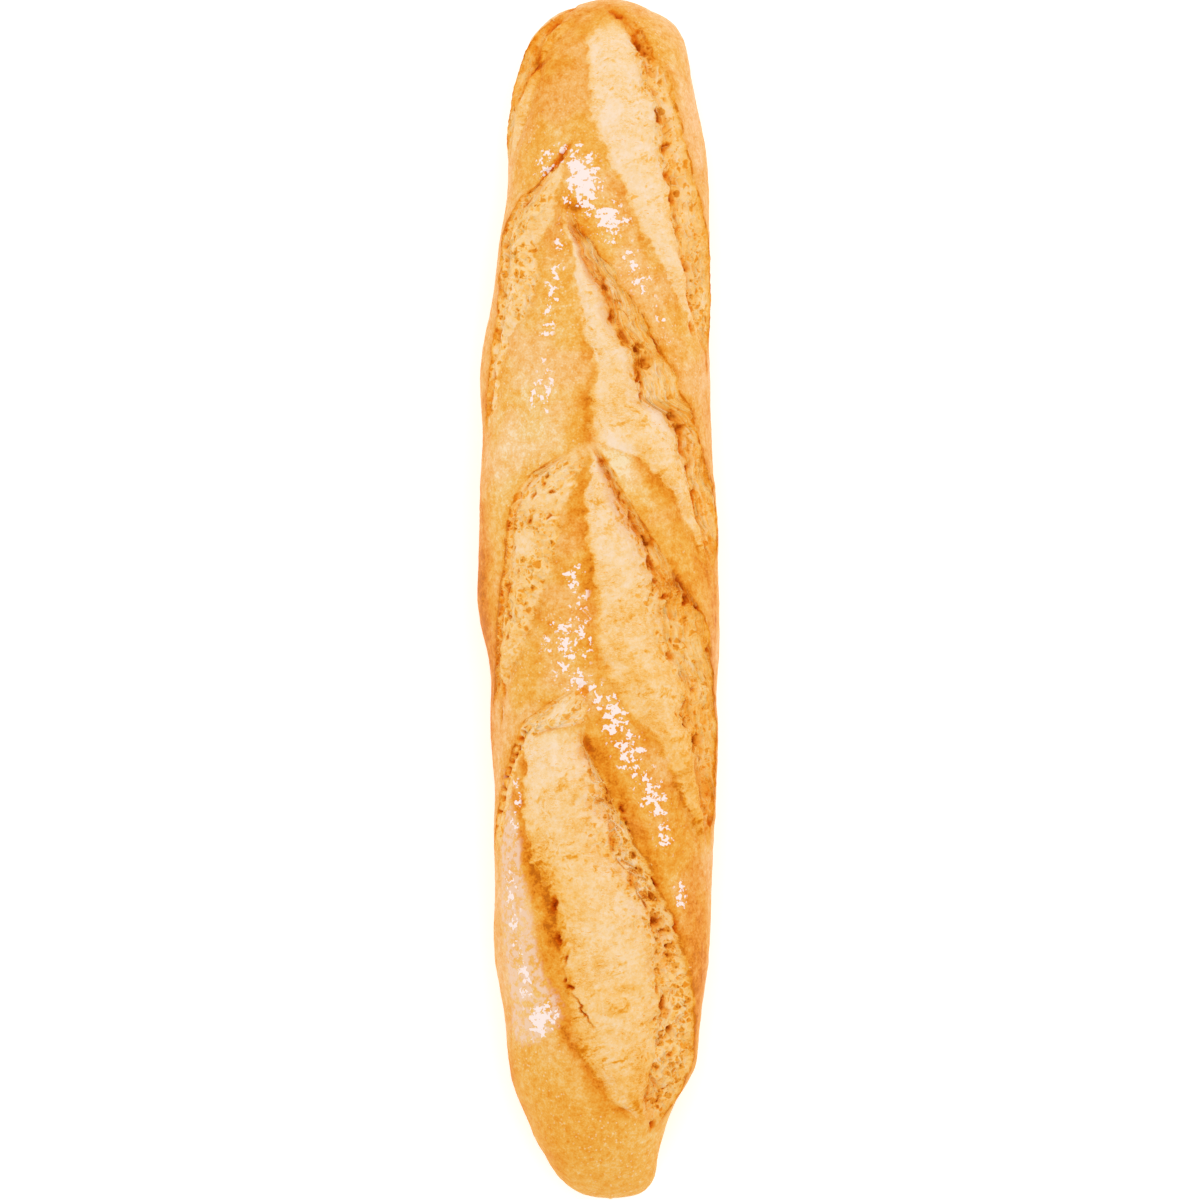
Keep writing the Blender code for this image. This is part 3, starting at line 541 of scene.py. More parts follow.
def bake(y, girth):
    """What the oven made of each place, with the shade that is painted into it: its height over the
    smooth skin, how far its lip leans over, and what colours it: its shares of crumb, toast (a little
    of it painted shade along each root), painted shade in hollows, open bubbles, strings, flour in
    flecks and flour in a thin veil, and its distance from the nearest root. Every limb adds its own
    relief: a ragged lip, a torn wall down to the root, crumb that swells from the root to the shore,
    and a ledge up to the tongue of crust."""
    height = np.zeros(np.broadcast(y, girth).shape)
    lean, crumb, crumb_toast, hollow, porous, strung, across = (np.zeros_like(height) for _ in range(7))
    for wave_y, wave_girth, size, phase in SKIN_LUMPS:
        height += (size * np.sin(math.tau * y / wave_y + phase)
                   * np.cos(math.tau * girth / wave_girth + 2 * phase))
    for size, wave_girth, wave_y, salt in SKIN_GRAIN:
        height += size * drift(girth / wave_girth, y / wave_y, salt)
    spots = spread(BAKE_SPOTS, y, girth)
    toast = CRUST_TOAST + FLANK_TOAST * ease(25, 60, np.abs(girth)) + spots
    for limb in LIMBS:
        at = (y > limb["low"]) & (y < limb["high"])
        if not at.any():
            continue
        yy, gg = y[at], girth[at]
        side, salt = limb["side"], 5000 + 60 * limb["number"]
        root, wall, opening = edges_at(limb, yy)
        calm = np.interp(yy, ROWS, limb["calm"])
        torn = np.minimum(1, wall / FULL_WALL) ** 0.5
        open_share = np.minimum(1, opening / FULL_OPENING)
        past = side * (gg - root)
        behind_lip = past - wall
        past_shore = -past - opening
        up_wall = np.clip(past / wall, 0, 1)
        into = np.clip(-past / opening, 0, 1)
        progress = (limb["high"] - yy) / (limb["high"] - limb["low"])

        pocket = ease(-0.6, 0.6, drift(yy / 6.0, past / 12, salt))
        depth = limb["depth"] * (0.60 + 0.55 * pocket)
        rise = limb["rise"] * (1 - 0.65 * progress ** 2)
        outer = np.where(behind_lip < 0, -depth + (depth + rise) * ease(0, 1, up_wall),
                         rise * np.clip(1 - behind_lip / BAND_WIDTH, 0, 1) ** 2) * torn
        ledge = limb["ledge"] * open_share
        swell = -depth * torn * (1 - into) ** 3 - ledge * into ** 3
        swell = swell + CRUMB_SWELL * open_share * np.sin(np.pi * into) ** 2
        bank = -ledge * (1 - ease(0, SHORE_WIDTH, past_shore))
        main = np.where(past > 0, outer, np.where(past_shore < 0, swell, bank))

        on_wall = ease(-0.6, 0.6, past) * ease(-0.3, 0.3, -behind_lip) * calm
        in_crumb = ease(-0.5, 0.5, -past) * calm * ease(
            -0.6, 0.6, -past_shore + limb["blur"] * drift(gg / 1.6, yy / 2.0, salt + 3))
        wall_relief, wall_shade, wall_toast = torn_wall(limb, past, wall, yy, progress)
        crumb_relief, crumb_shade, own_toast, own_porous = risen_crumb(limb, past, into, yy, progress)
        height[at] += (main * calm + on_wall * torn * wall_relief
                       + in_crumb * open_share * crumb_relief)
        lean[at] -= side * limb["lean"] * calm * torn * np.exp(-(behind_lip / LEAN_REACH) ** 2) * (
            1 + 0.6 * drift(yy / 3.0, 0 * yy, salt + 6))

        # Painted shade along the foot of the torn wall, where it meets the crumb: a little of it goes
        # into the hollow shade and a little browns the toast.
        shadow = np.exp(-(past / (0.18 * wall + 0.6)) ** 2) * torn * calm * pocket
        hollow[at] = np.maximum(hollow[at], np.clip(
            0.06 * shadow + on_wall * wall_shade + in_crumb * crumb_shade, 0, 1))
        fringe = (np.exp(-((behind_lip + 0.3) / FRINGE_REACH) ** 2)
                  * ease(-0.8, 0.5, drift(yy / 2.0, gg / 2, salt + 12)))
        mixed = np.where(past > 0, wall_toast, own_toast) + 0.05 * shadow + FRINGE_TOAST * fringe
        wall_porous = limb["bubble"] * ease(1.05, 0.55, up_wall)
        share = np.maximum(on_wall, in_crumb)
        wins = share > crumb[at]
        for whole, own in ((crumb, share), (crumb_toast, mixed), (across, past),
                           (porous, share * np.where(past > 0, wall_porous, own_porous)),
                           (strung, share * limb["fibre"] * ease(-0.8, 0.4, past))):
            whole[at] = np.where(wins, own, whole[at])
        rim = np.exp(-(behind_lip / RIM_REACH) ** 2) * (behind_lip > -0.5)
        edge = np.exp(-(np.maximum(past_shore, 0) / EDGE_REACH) ** 2) * (past_shore > -1)
        toast[at] += calm * ((0.10 + 0.30 * progress) * torn * rim
                             + limb["shore_toast"] * open_share * edge
                             * ease(-0.9, 0.6, drift(yy / 7, gg / 4, salt + 9)))
    toast = toast * (1 - crumb) + (crumb_toast + 0.7 * spots) * crumb
    ragged_y = y + 0.8 * drift(girth / 1.6, y / 1.6, 31)
    ragged_girth = girth + 0.8 * drift(girth / 1.6, y / 1.6, 34)
    # Burst bubbles and cracks are sunk, browned, and filled with painted shade.
    burst = np.clip(spread(BURSTS, ragged_y, ragged_girth), 0, 1)
    height -= BURST_DEPTH * burst
    hollow = np.clip(hollow + 0.95 * burst, 0, 1)
    toast = np.clip(toast + BURST_TOAST * burst, 0, 1)
    flour = np.clip(spread(FLOUR_SPOTS, y, girth), 0, 1.4) * (1 - 0.8 * crumb)
    veil = np.clip(spread(VEIL_SPOTS, ragged_y, ragged_girth), 0, 1)
    return height, lean, dict(crumb=crumb, toast=toast, hollow=hollow, porous=porous, strung=strung,
                              across=across, flour=flour, veil=veil)


FLAT_BASE = 0.02            # the base keeps this far above the deck's own level
RELIEF_FROM, RELIEF_TO = -0.75, -0.15       # upward parts of the normal where relief fades in


def bread_points(y, girth, sunk):
    """Points of the baked surface and the shares that colour it: the skin's point, moved outwards by
    the relief less sunk and, at a lip, sideways by its lean. Nothing goes below the base."""
    skin, outward = on_skin(y, girth)
    height, lean, shares = bake(y, girth)
    upper = ease(RELIEF_FROM, RELIEF_TO, outward[..., 2])
    sideways = np.stack([outward[..., 2], np.zeros_like(y), -outward[..., 0]], axis=-1)
    points = skin + outward * (height * upper - sunk)[..., None] + sideways * lean[..., None]
    points[..., 2] = np.maximum(points[..., 2], FLAT_BASE)
    return points, shares


def four_corners(grid):
    """The four corners, in order round it, of every square of a grid of points or of their places on
    the bake map."""
    return np.stack([grid[:-1, :-1], grid[:-1, 1:], grid[1:, 1:], grid[1:, :-1]], axis=2)


def fan(tip, ring):
    """Triangles from a tip, or a tip of its own for each, to every step along a ring."""
    return np.stack([np.broadcast_to(tip, ring[1:].shape), ring[1:], ring[:-1]], axis=1)


def make_piece(name, points, faces, corners, shares, material):
    """One closed mesh object at the origin, from its points in millimetres, arrays of four-sided and
    of three-sided faces, arrays of their corners' places on the bake map, and shares for each point."""
    mesh = bpy.data.meshes.new(name)
    sides = [group.reshape(-1, group.shape[-1]).tolist() for group in faces]
    mesh.from_pydata((points * MM).tolist(), [], sum(sides, []))
    mesh.polygons.foreach_set("use_smooth", np.ones(len(mesh.polygons), bool))
    places = np.concatenate([group.ravel() for group in corners])
    mesh.uv_layers.new(name="OFBake").data.foreach_set("uv", places.astype(np.float32))
    for key, values in shares.items():
        attribute = mesh.attributes.new(key, "FLOAT", "POINT")
        attribute.data.foreach_set("value", values.astype(np.float32).ravel())
    mesh.materials.append(material)
    mesh.update()
    piece = bpy.data.objects.new(name, mesh)
    bpy.context.scene.collection.objects.link(piece)
    return piece


def linear(hex_colour):
    """sRGB hex as linear red, green, blue and full alpha."""
    channels = [int(hex_colour[i:i + 2], 16) / 255 for i in (1, 3, 5)]
    return [c / 12.92 if c <= 0.04045 else ((c + 0.055) / 1.055) ** 2.4 for c in channels] + [1.0]


def add_node(tree, kind, settings=(), **links):
    """A node of this kind, with its settings, and its inputs set to a value or linked to a socket.
    An input is named with _ for a space, or by its number after a leading n."""
    node = tree.nodes.new(kind)
    for key, value in dict(settings).items():
        setattr(node, key, value)
    for key, value in links.items():
        socket = node.inputs[int(key[1:])] if key[1:].isdigit() else node.inputs[key.replace("_", " ")]
        if isinstance(value, bpy.types.NodeSocket):
            tree.links.new(value, socket)
        else:
            socket.default_value = value
    return node


# Colours of plain crust, crumb and pinker crust from pale to brown, the pinker crust being partly
# painted rim light, and the painted shade, darker and more amber, that multiplies them in hollows from
# their rim to their depth.
CRUST_COLOURS = [(0.0, "#f0d8ac"), (0.20, "#edc27a"), (0.42, "#ebae4e"), (0.60, "#e79d34"),
                 (0.76, "#e38b1e"), (0.90, "#d87910"), (1.0, "#be650a")]
CRUMB_COLOURS = [(0.0, "#f3d9bc"), (0.25, "#f2ce9a"), (0.50, "#f0bb68"), (0.72, "#eba438"),
                 (0.88, "#e28a14"), (1.0, "#cf7208")]
PEACH_COLOURS = [(0.0, "#f6d8b8"), (0.35, "#f1c18c"), (0.60, "#ecaa5c"), (0.80, "#e68f34"),
                 (1.0, "#d67a20")]
HOLLOW_SHADE_COLOURS = [(0.0, "#ffffff"), (0.25, "#ffe7a2"), (0.5, "#fccb66"), (1.0, "#cf8a22")]
FLOUR_COLOUR = "#f7e4dc"
VEIL_COLOUR = "#eccbb0"
WEB_COLOUR = "#f8d186"
CRUST_ROUGHNESS, CRUMB_ROUGHNESS, FLOUR_ROUGHNESS = 0.52, 0.98, 0.95
GRAIN_TONES = (0.60, 0.85, 0.75)    # how far broad, middle and fine grain change the browning
# A bubble's darkness is painted shade inside it.
BUBBLES = ((2.3, 0.55, 0.50), (1.1, 0.42, 0.42))    # size in mm, darkness, and share that is open


def baked_dough(name):
    """Wheat dough baked golden. Crust is dry and hard, with the least gloss, so that light lies softly
    on it; torn crumb is wholly matt, with golden skins between bubbles whose insides are painted darker
    and amber as shade; flour is matt and almost white. The attributes say where each lies, the painted
    shade in hollows among them. What is finer than the meshes is drawn here: a drift of hue 22 mm wide,
    grain of 9 to 0.65 mm, specks, strings and bubbles, and the flanks' pinker crust, partly painted rim
    light."""
    material = bpy.data.materials.new(name)
    material.use_nodes = True
    tree = material.node_tree
    shader = tree.nodes["Principled BSDF"]
    share = {key: add_node(tree, "ShaderNodeAttribute", dict(attribute_name=key)).outputs["Fac"]
             for key in ("crumb", "toast", "hollow", "porous", "strung", "across", "flour", "veil")}
    place = add_node(tree, "ShaderNodeTexCoord").outputs["Object"]
    along = add_node(tree, "ShaderNodeSeparateXYZ", Vector=place).outputs["Y"]
    normal = add_node(tree, "ShaderNodeNewGeometry").outputs["Normal"]
    up = add_node(tree, "ShaderNodeSeparateXYZ", Vector=normal).outputs["Z"]

    def noise(vector, scale=1.0, detail=3.0, roughness=0.6, distortion=0.0, output="Fac"):
        return add_node(tree, "ShaderNodeTexNoise", Vector=vector, Scale=scale, Detail=detail,
                        Roughness=roughness, Distortion=distortion).outputs[output]

    def grain(size_mm, detail=3.0):
        return noise(place, 1 / (size_mm * MM), detail)

    def bubbles(vector, size_mm, output="Distance", feature="F1"):
        return add_node(tree, "ShaderNodeTexVoronoi", dict(feature=feature), Vector=vector,
                        Scale=1 / (size_mm * MM)).outputs[output]

    def maths(operation, first, second=0.0, third=0.0):
        return add_node(tree, "ShaderNodeMath", dict(operation=operation),
                        n0=first, n1=second, n2=third).outputs[0]

    def times(first, *others):
        for other in others:
            first = maths("MULTIPLY", first, other)
        return first

    def plus(base, value, amount):
        return maths("MULTIPLY_ADD", value, amount, base)

    def stretch(vector, factors, moved=(0.0, 0.0, 0.0)):
        return add_node(tree, "ShaderNodeVectorMath", dict(operation="MULTIPLY_ADD"), n0=vector,
                        n1=factors, n2=moved).outputs[0]

    def step(value, low, high, top=1.0):
        return add_node(tree, "ShaderNodeMapRange", dict(interpolation_type="SMOOTHSTEP"),
                        Value=value, From_Min=low, From_Max=high, To_Max=top).outputs["Result"]

    def blend(share_of_second, first, second, how="MIX"):
        return add_node(tree, "ShaderNodeMix", dict(data_type="RGBA", blend_type=how),
                        n0=share_of_second, n6=first, n7=second).outputs[2]

    def tint(value, stops):
        node = add_node(tree, "ShaderNodeValToRGB", Fac=value)
        elements = node.color_ramp.elements
        while len(elements) < len(stops):
            elements.new(0.5)
        for element, (position, colour) in zip(elements, stops):
            element.position = position
            element.color = linear(colour)
        return node.outputs["Color"]

    # Crust: browned by its toast and by grain, with pale blisters, and pinker partly in broad drifts of
    # hue and partly as painted rim light where the skin turns away from above.
    hue, broad, mottle, fine = grain(22.0, 2.0), grain(9.0), grain(2.2), grain(0.65)
    tone = share["toast"]
    for texture, amount in zip((broad, mottle, fine), GRAIN_TONES):
        tone = plus(tone, texture, amount)
    tone = maths("SUBTRACT", tone, sum(GRAIN_TONES) / 2)
    # Share of pinker crust: partly a random drift of hue, partly painted rim light where the normal
    # turns from upward; none towards the tail.
    soft = plus(step(hue, 0.45, 0.62, 0.45), step(up, 0.75, 0.1), 0.55)
    soft = times(soft, step(along, -165 * MM, -115 * MM))
    crust = blend(soft, tint(tone, CRUST_COLOURS), tint(tone, PEACH_COLOURS))
    speck = times(step(bubbles(place, 1.5), 0.26, 0.16), step(broad, 0.46, 0.56, 0.55),
                  step(share["toast"], 0.62, 0.44))
    crust = blend(speck, crust, linear(CRUST_COLOURS[0][1]))

    # Crumb: calmer in tone, with brown threads drawn across the cut, and slits across it painted dark
    # as shade.
    thread = noise(stretch(place, [1 / (size * MM) for size in (2.6, 0.5, 2.6)]), detail=2.0,
                   distortion=1.2)
    slit = times(step(thread, 0.655, 0.70), share["crumb"])
    thread = maths("ABSOLUTE", maths("SUBTRACT", thread, 0.5))
    thread = times(step(thread, 0.045, 0.008), step(broad, 0.42, 0.56),
                   maths("SUBTRACT", 1.0, share["porous"]))
    calmer = plus(share["toast"], maths("SUBTRACT", tone, share["toast"]), 0.7)
    crumb = tint(plus(calmer, thread, 0.30), CRUMB_COLOURS)

    # Torn walls: strings that run along the lip, and two sizes of bubbles with skins between them.
    string_place = add_node(tree, "ShaderNodeCombineXYZ", X=times(share["across"], 1 / 0.75),
                            Y=times(along, 1 / (9.0 * MM))).outputs[0]
    string = noise(string_place, roughness=0.7, distortion=0.4)
    gap = times(step(string, 0.52, 0.40), share["strung"])
    string = times(step(string, 0.52, 0.62), share["strung"])
    crumb = blend(times(string, 0.42), crumb, linear(WEB_COLOUR))
    wobble = noise(place, 1 / (2.0 * MM), detail=1.0, roughness=0.5, output="Color")
    wobble = stretch(wobble, (1.4 * MM,) * 3, place)
    # Painted shade: the hollow share, the gaps between strings and the slits, and below each bubble's
    # pit.
    painted_shade = plus(plus(share["hollow"], gap, 0.24), slit, 0.45)
    pits = 0.0
    for size, depth, openness in BUBBLES:
        edge = bubbles(wobble, size, feature="DISTANCE_TO_EDGE")
        own = bubbles(wobble, size, "Color")
        gate = step(plus(own, share["porous"], openness), 0.90, 1.10)
        pit = times(step(edge, 0.04, 0.24), gate, step(own, 0.25, 0.8))
        skin = times(step(edge, 0.09, 0.02), times(share["porous"], 0.45))
        crumb = blend(skin, crumb, linear(WEB_COLOUR))
        pits = plus(pits, pit, size)
        painted_shade = plus(painted_shade, pit, depth)
    colour = blend(share["crumb"], crust, crumb)
    # The painted shade multiplies the colour, darker and more amber the deeper it is.
    colour = blend(1.0, colour, tint(painted_shade, HOLLOW_SHADE_COLOURS), "MULTIPLY")

    # Flour: a thin veil rubbed into the crust, and flecks that lie on it.
    veil = times(step(share["veil"], 0.25, 0.75), step(mottle, 0.40, 0.58, 0.85),
                 step(share["crumb"], 0.8, 0.2))
    colour = blend(veil, colour, linear(VEIL_COLOUR))
    fleck = plus(times(share["flour"], 0.55), grain(2.4, 2.0), 2.4)
    fleck = plus(fleck, grain(0.9, 2.0), 0.9)
    floured = times(step(fleck, 2.06, 2.16), step(share["flour"], 0.08, 0.30))
    colour = blend(floured, colour, linear(FLOUR_COLOUR))

    rough = plus(CRUST_ROUGHNESS, share["crumb"], CRUMB_ROUGHNESS - CRUST_ROUGHNESS)
    rough = maths("MAXIMUM", rough, times(floured, FLOUR_ROUGHNESS))
    relief = plus(plus(mottle, fine, 0.5), floured, 0.5)
    relief = maths("SUBTRACT", relief, times(pits, times(share["crumb"], 0.22)))
    relief = plus(relief, string, 0.5)
    bump = add_node(tree, "ShaderNodeBump", Strength=0.35, Distance=0.35 * MM, Height=relief)
    for socket, value in (("Base Color", colour), ("Roughness", rough),
                          ("Normal", bump.outputs["Normal"])):
        tree.links.new(value, shader.inputs[socket])
    shader.inputs["IOR"].default_value = 1.45
    shader.inputs["Specular IOR Level"].default_value = 0.05
    return material


CRUST_ROW_STEP = 0.90       # spacing of the rings of points
CROWN_COLUMNS = 182         # columns of points over the crown and flanks
BASE_COLUMNS = 34           # and round the underside
CROWN_SHARE = 0.62          # share of the girth that the crown's columns cover
TIP_MARGIN = 0.01           # strip of the bake map kept for the fan at each tip


def crust_shell(name, material):
    """The whole skin as one closed grid of rings, with a fan of triangles at each tip."""
    y = rows_along(CRUST_ROW_STEP)
    crown = np.linspace(-CROWN_SHARE, CROWN_SHARE, CROWN_COLUMNS)
    under = np.linspace(CROWN_SHARE, 2 - CROWN_SHARE, BASE_COLUMNS + 2)[1:-1]
    share = np.concatenate([crown, under])
    girth = np.where(share > 1, share - 2, share) * np.interp(y, ROWS, HALF_GIRTH)[:, None]
    yy = np.repeat(y[:, None], len(share), axis=1)
    points, shares = bread_points(yy, girth, tuck(yy, girth, 0))
    tips = points[[0, -1]].mean(axis=1)
    tips[:, 1] = -HALF_LENGTH, HALF_LENGTH
    points = np.concatenate([points.reshape(-1, 3), tips])
    shares = {key: np.append(v, v[[0, -1]].mean(axis=1)) for key, v in shares.items()}

    index = np.arange(girth.size).reshape(girth.shape)
    index = np.hstack([index, index[:, :1]])
    u = np.append((share + CROWN_SHARE) / 2, 1.0)
    v = np.linspace(TIP_MARGIN, 1 - TIP_MARGIN, len(y))
    bake_map = np.stack(np.meshgrid(u, v), axis=-1)
    faces, corners = [four_corners(index)], [four_corners(bake_map)]
    for tip, edge, tip_v in ((0, np.s_[0], 0.0), (1, np.s_[-1, ::-1], 1.0)):
        middles = (bake_map[edge][1:] + bake_map[edge][:-1]) / 2
        middles[:, 1] = tip_v
        faces.append(fan(girth.size + tip, index[edge]))
        corners.append(fan(middles, bake_map[edge]))
    return make_piece(name, points, faces, corners, shares, material)


dough = baked_dough("baked_wheat_dough")
crust = crust_shell("crust", dough)
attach(crust, "root")
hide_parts("loaf")

# ------------------------------------------------------------------------------------------------
# The opened cuts. Where the blade parted the skin the dough rose through it: pale stretched crumb,
# torn away from the lifted lip in a ragged wall of strings and burst bubbles. Each limb of a cut is
# a fine closed mesh of its own, let into the crust and overlapping its edges.
# ------------------------------------------------------------------------------------------------
OPENING_STEP = 0.37         # spacing of points across the crumb
WALL_STEP = 0.27            # and up the torn wall
MARGIN_STEP = 0.42          # and over the crust on both sides
PLUNGE = 1.1                # the border of a mesh dives this far under the crust,
PLUNGE_WIDTH = 1.6          # over this width
KEEL = 9.0                  # its underside is closed along a line this deep
TOP_OF_MAP = 0.96           # share of the bake map for what shows; the hidden underside has one spot
HIDDEN_SPOT = (0.985, 0.5)
END_GAP = 0.05              # a mesh ends this far short of its limb's tips


def opened_limb(name, limb, material):
    """One limb's mesh: rows along the loaf, and columns from left to right that follow its shore, root
    and lip, so that each edge runs along the mesh. The underside is two strips that meet along a
    keel."""
    side = limb["side"]
    count = round((limb["high"] - limb["low"]) / PATCH_STEP)
    y = np.linspace(limb["low"] + END_GAP, limb["high"] - END_GAP, count)
    root, wall, opening = (measure[:, None] for measure in edges_at(limb, y))
    bank = np.linspace(-SHORE_MARGIN, 0, round(SHORE_MARGIN / MARGIN_STEP), endpoint=False)
    crumb = np.linspace(-1, 0, round(opening.max() / OPENING_STEP), endpoint=False)
    torn = np.linspace(0, 1, round(wall.max() / WALL_STEP), endpoint=False)
    back = np.linspace(0, LIP_MARGIN, round(LIP_MARGIN / MARGIN_STEP))
    past = np.concatenate([bank - opening, crumb * opening, torn * wall, wall + back], axis=1)
    girth = root + side * past[:, ::side]
    yy = np.repeat(y[:, None], girth.shape[1], axis=1)
    plunge = PLUNGE * np.clip(1 - inside_patch(limb, yy, girth) / PLUNGE_WIDTH, 0, 1.2) ** 3
    points, shares = bread_points(yy, girth, plunge + tuck(yy, girth, limb["number"] + 1))
    middle, outward = on_skin(y, root[:, 0])
    points = np.concatenate([points.reshape(-1, 3), middle - KEEL * outward])
    shares = {key: np.append(v, np.full(count, v.mean())) for key, v in shares.items()}

    index = np.arange(girth.size).reshape(girth.shape)
    keel = girth.size + np.arange(count)
    quads = four_corners(np.column_stack([keel, index, keel]))
    ends = np.concatenate([fan(keel[0], index[0]), fan(keel[-1], index[-1, ::-1])])
    u, v = np.linspace(0, TOP_OF_MAP, girth.shape[1]), np.linspace(0, 1, count)
    on_quads, on_ends = (np.full(group.shape + (2,), HIDDEN_SPOT) for group in (quads, ends))
    on_quads[:, 1:-1] = four_corners(np.stack(np.meshgrid(u, v), axis=-1))
    return make_piece(name, points, [quads, ends], [on_quads, on_ends], shares, material)


for limbs, form in ((RIGHT_LIMBS, "right_opening"), (LEFT_LIMBS, "left_tear")):
    for number, limb in enumerate(limbs, start=1):
        piece = opened_limb(f"cut_{number}_{form}", limb, dough)
        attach(piece, "root")

# ------------------------------------------------------------------------------------------------
# The strands. Where the dough tore it drew out into gluten strings, baked thin, dry and golden; they
# bridge the pockets and fray along the lips. All of them are one mesh of slim closed tubes.
# ------------------------------------------------------------------------------------------------
# For each limb: how many strands, the middle and spread of their length, and how far their direction
# wanders from the lip's, in degrees.
STRANDS = [
    (16, 2.0, 0.8, 60), (12, 1.6, 0.6, 70), (12, 1.6, 0.6, 70), (8, 1.4, 0.4, 80),
    (30, 2.0, 0.8, 50), (44, 3.6, 1.6, 8), (40, 2.6, 1.0, 20), (60, 1.8, 0.7, 80),
]
STRAND_RINGS = 8
STRAND_SIDES = 5
STRAND_RADIUS = (0.12, 0.22)        # thinnest and thickest
LONGEST, SHORTEST = 9.0, 0.8
LIP_SIGHT = 2.0             # the lip's direction is taken over this far each way
END_POINT = 0.05            # a tube's tips stand this far beyond its last rings


def torn_strands(name, material):
    """Strands scattered by chance over every torn wall. Each runs from one place on the wall to
    another along a gentle bend in girth and y, lifted between them as an arch; every second one also
    cuts half way towards the straight line between its ends."""
    rng = np.random.default_rng(41)
    middles, lines = [], []
    for limb, (count, length, spare, wander) in zip(LIMBS, STRANDS):
        y = limb["low"] + (limb["high"] - limb["low"]) * rng.uniform(0.06, 0.94, count)
        root, wall, _ = edges_at(limb, y)
        past = wall * rng.uniform(-0.1, 1.05, count)
        before, after = (np.interp(y + step, ROWS, limb["lip"]) for step in (-LIP_SIGHT, LIP_SIGHT))
        heading = np.arctan((after - before) / (2 * LIP_SIGHT))
        turned = heading - np.radians(rng.normal(0, wander, count))
        reach = np.clip(rng.normal(length, spare, count), SHORTEST, LONGEST) / 2
        middles.append(np.stack([root + limb["side"] * past, y], axis=1))
        lines.append(np.stack([np.sin(turned) * reach, np.cos(turned) * reach], axis=1))
    middle, line = np.concatenate(middles), np.concatenate(lines)
    count = len(middle)
    t = np.linspace(-1, 1, STRAND_RINGS)[None, :]
    bend = rng.normal(0, 0.35, count)[:, None] * (1 - t * t)
    girth = middle[:, :1] + line[:, :1] * t + bend * line[:, 1:]
    y = middle[:, 1:] + line[:, 1:] * t - bend * line[:, :1]
    surface, shares = bread_points(y, girth, 0.0)
    _, outward = on_skin(y, girth)
    lift = rng.uniform(0.0, 0.35, count)[:, None] * (1 - t * t) - 0.12
    chord = surface[:, :1] + (surface[:, -1:] - surface[:, :1]) * (t[..., None] + 1) / 2
    spine = surface.copy()
    spine[1::2] = 0.5 * surface[1::2] + 0.5 * chord[1::2]
    spine += outward * lift[..., None]

    ahead = np.gradient(spine, axis=1)
    ahead /= np.linalg.norm(ahead, axis=-1, keepdims=True)
    right = np.cross(ahead, outward)
    right /= np.linalg.norm(right, axis=-1, keepdims=True)
    above = np.cross(right, ahead)
    radius = rng.uniform(*STRAND_RADIUS, count)[:, None] * (1 - 0.75 * np.abs(t) ** 3)
    angle = -np.arange(STRAND_SIDES)[:, None] * 2 * np.pi / STRAND_SIDES
    ring = right[:, :, None] * np.cos(angle) + above[:, :, None] * np.sin(angle)
    tube = spine[:, :, None] + ring * radius[:, :, None, None]
    ends = spine[:, [0, -1]] + ahead[:, [0, -1]] * np.array([[-END_POINT], [END_POINT]])
    per = STRAND_RINGS * STRAND_SIDES
    points = np.concatenate([tube.reshape(count, per, 3), ends], axis=1)

    index = np.arange(per).reshape(STRAND_RINGS, STRAND_SIDES)
    index = np.hstack([index, index[:, :1]])
    caps = np.concatenate([fan(per, index[0]), fan(per + 1, index[-1, ::-1])])
    first_point = np.arange(count) * (per + 2)
    walls = first_point[:, None, None, None] + four_corners(index)
    caps = first_point[:, None, None] + caps
    u = np.linspace(0, 0.9 / count, STRAND_SIDES + 1)
    on_walls = four_corners(np.stack(np.meshgrid(u, np.linspace(0, 1, STRAND_RINGS)), axis=-1))
    on_walls = np.repeat(on_walls[None], count, axis=0)
    on_walls[..., 0] += (np.arange(count) / count)[:, None, None, None]
    tone = np.repeat(rng.uniform(0.40, 0.80, count), per + 2)
    shares = {key: np.zeros(len(tone)) for key in shares}
    shares.update(crumb=np.ones(len(tone)), toast=tone)
    return make_piece(name, points.reshape(-1, 3), [walls, caps],
                      [on_walls, np.zeros(caps.shape + (2,))], shares, material)


strands = torn_strands("torn_strands", dough)
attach(strands, "root")

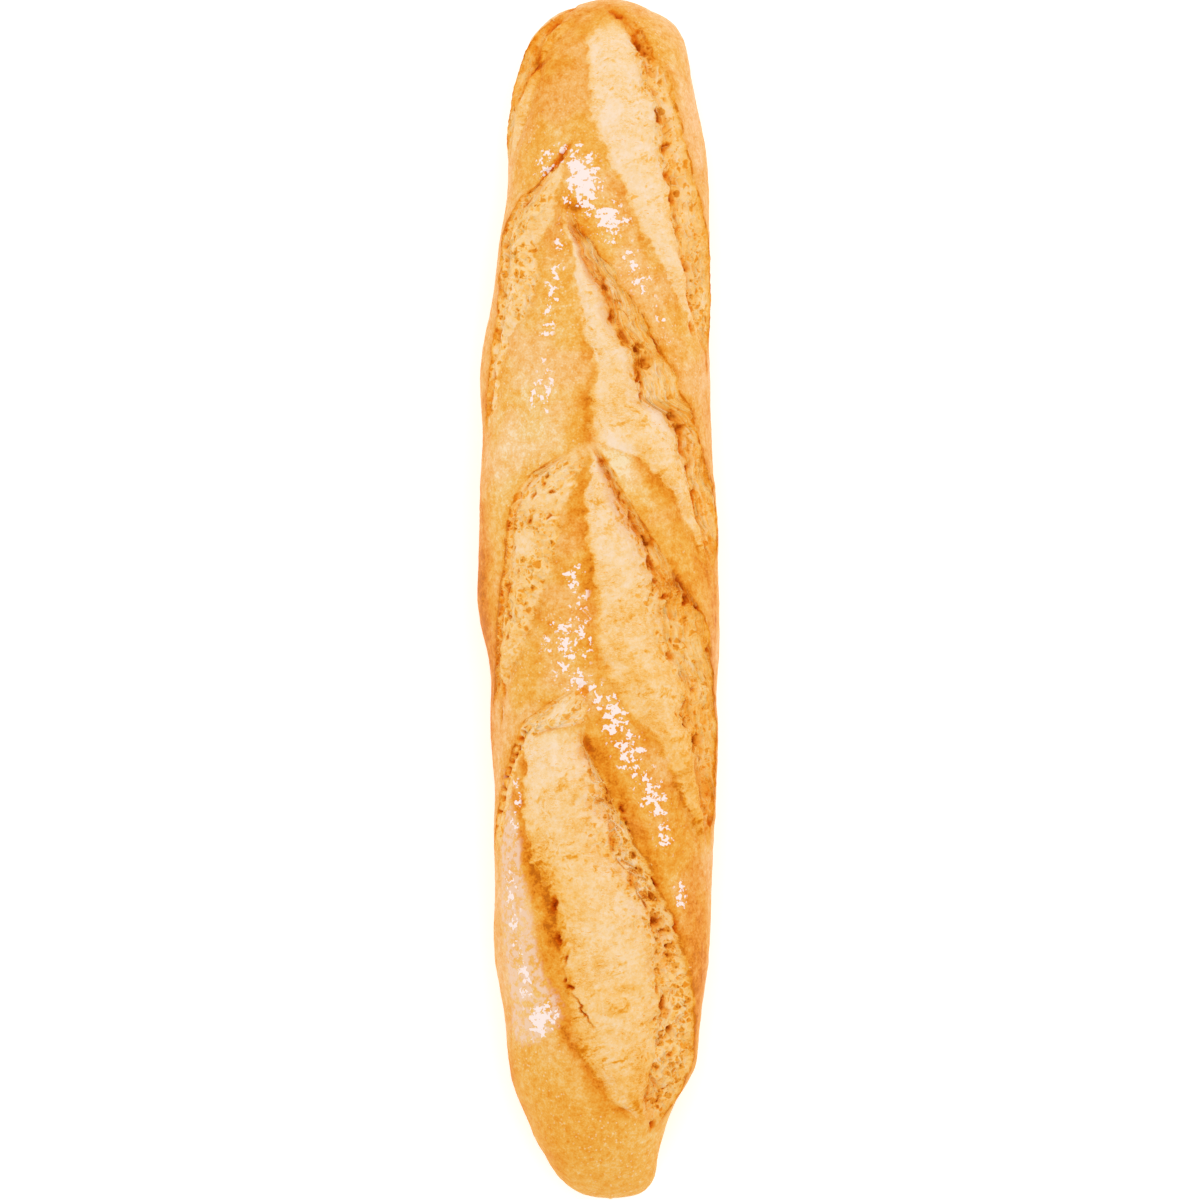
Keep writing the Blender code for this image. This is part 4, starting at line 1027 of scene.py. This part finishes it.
# ------------------------------------------------------------------------------------------------
# The stage: a white table under even white light from all round, with a broad soft lamp high beyond
# the loaf's head, and a camera straight above the loaf.
# ------------------------------------------------------------------------------------------------
TABLE_HALF = 3.0            # in metres, like every length from here on
TABLE_GLOW = 0.30           # the table gives off a little light, so that it stays pure white
ROOM_LIGHT = 0.92
LAMP_PLACE = (0.10, 0.35, 1.4)
LAMP_AIM = (0.0, 0.0, 0.02)
bpy.ops.mesh.primitive_plane_add(size=2 * TABLE_HALF, location=(0, 0, -0.0002))
table_top = bpy.context.object
table_top.name = "white_table"
white = bpy.data.materials.new("white_table")
white.use_nodes = True
paint = white.node_tree.nodes["Principled BSDF"].inputs
for socket, value in (("Base Color", linear("#fbfbfb")), ("Roughness", 0.9),
                      ("Emission Color", (1, 1, 1, 1)), ("Emission Strength", TABLE_GLOW)):
    paint[socket].default_value = value
table_top.data.materials.append(white)

world = bpy.data.worlds.new("white_room")
world.use_nodes = True
world.node_tree.nodes["Background"].inputs["Color"].default_value = (1.0, 1.0, 1.0, 1.0)
world.node_tree.nodes["Background"].inputs["Strength"].default_value = ROOM_LIGHT
bpy.context.scene.world = world

light = bpy.data.lights.new("soft_lamp_above", "AREA")
light.shape, light.size, light.energy = "SQUARE", 1.0, 4.0
lamp = bpy.data.objects.new("soft_lamp_above", light)
lamp.location = LAMP_PLACE
x, y, z = (place - aim for place, aim in zip(LAMP_PLACE, LAMP_AIM))
lamp.rotation_euler = (math.atan2(math.hypot(x, y), z), 0, math.atan2(x, -y))
bpy.context.scene.collection.objects.link(lamp)

VIEW_HEIGHT = 1.9           # from the loaf's widest level, where its outline lies, to the camera
OUTLINE_LEVEL = 0.020
SENSOR = 36.0
FRAME_SIDE = 0.380          # the square view's width at that level
view = bpy.data.cameras.new("view_from_above")
view.sensor_width = SENSOR
view.lens = SENSOR * VIEW_HEIGHT / FRAME_SIDE
view.clip_end = 20.0
camera = bpy.data.objects.new("view_from_above", view)
camera.location = (0.0, 0.0, OUTLINE_LEVEL + VIEW_HEIGHT)
bpy.context.scene.collection.objects.link(camera)
bpy.context.scene.camera = camera
bpy.context.scene.view_settings.view_transform = "Standard"
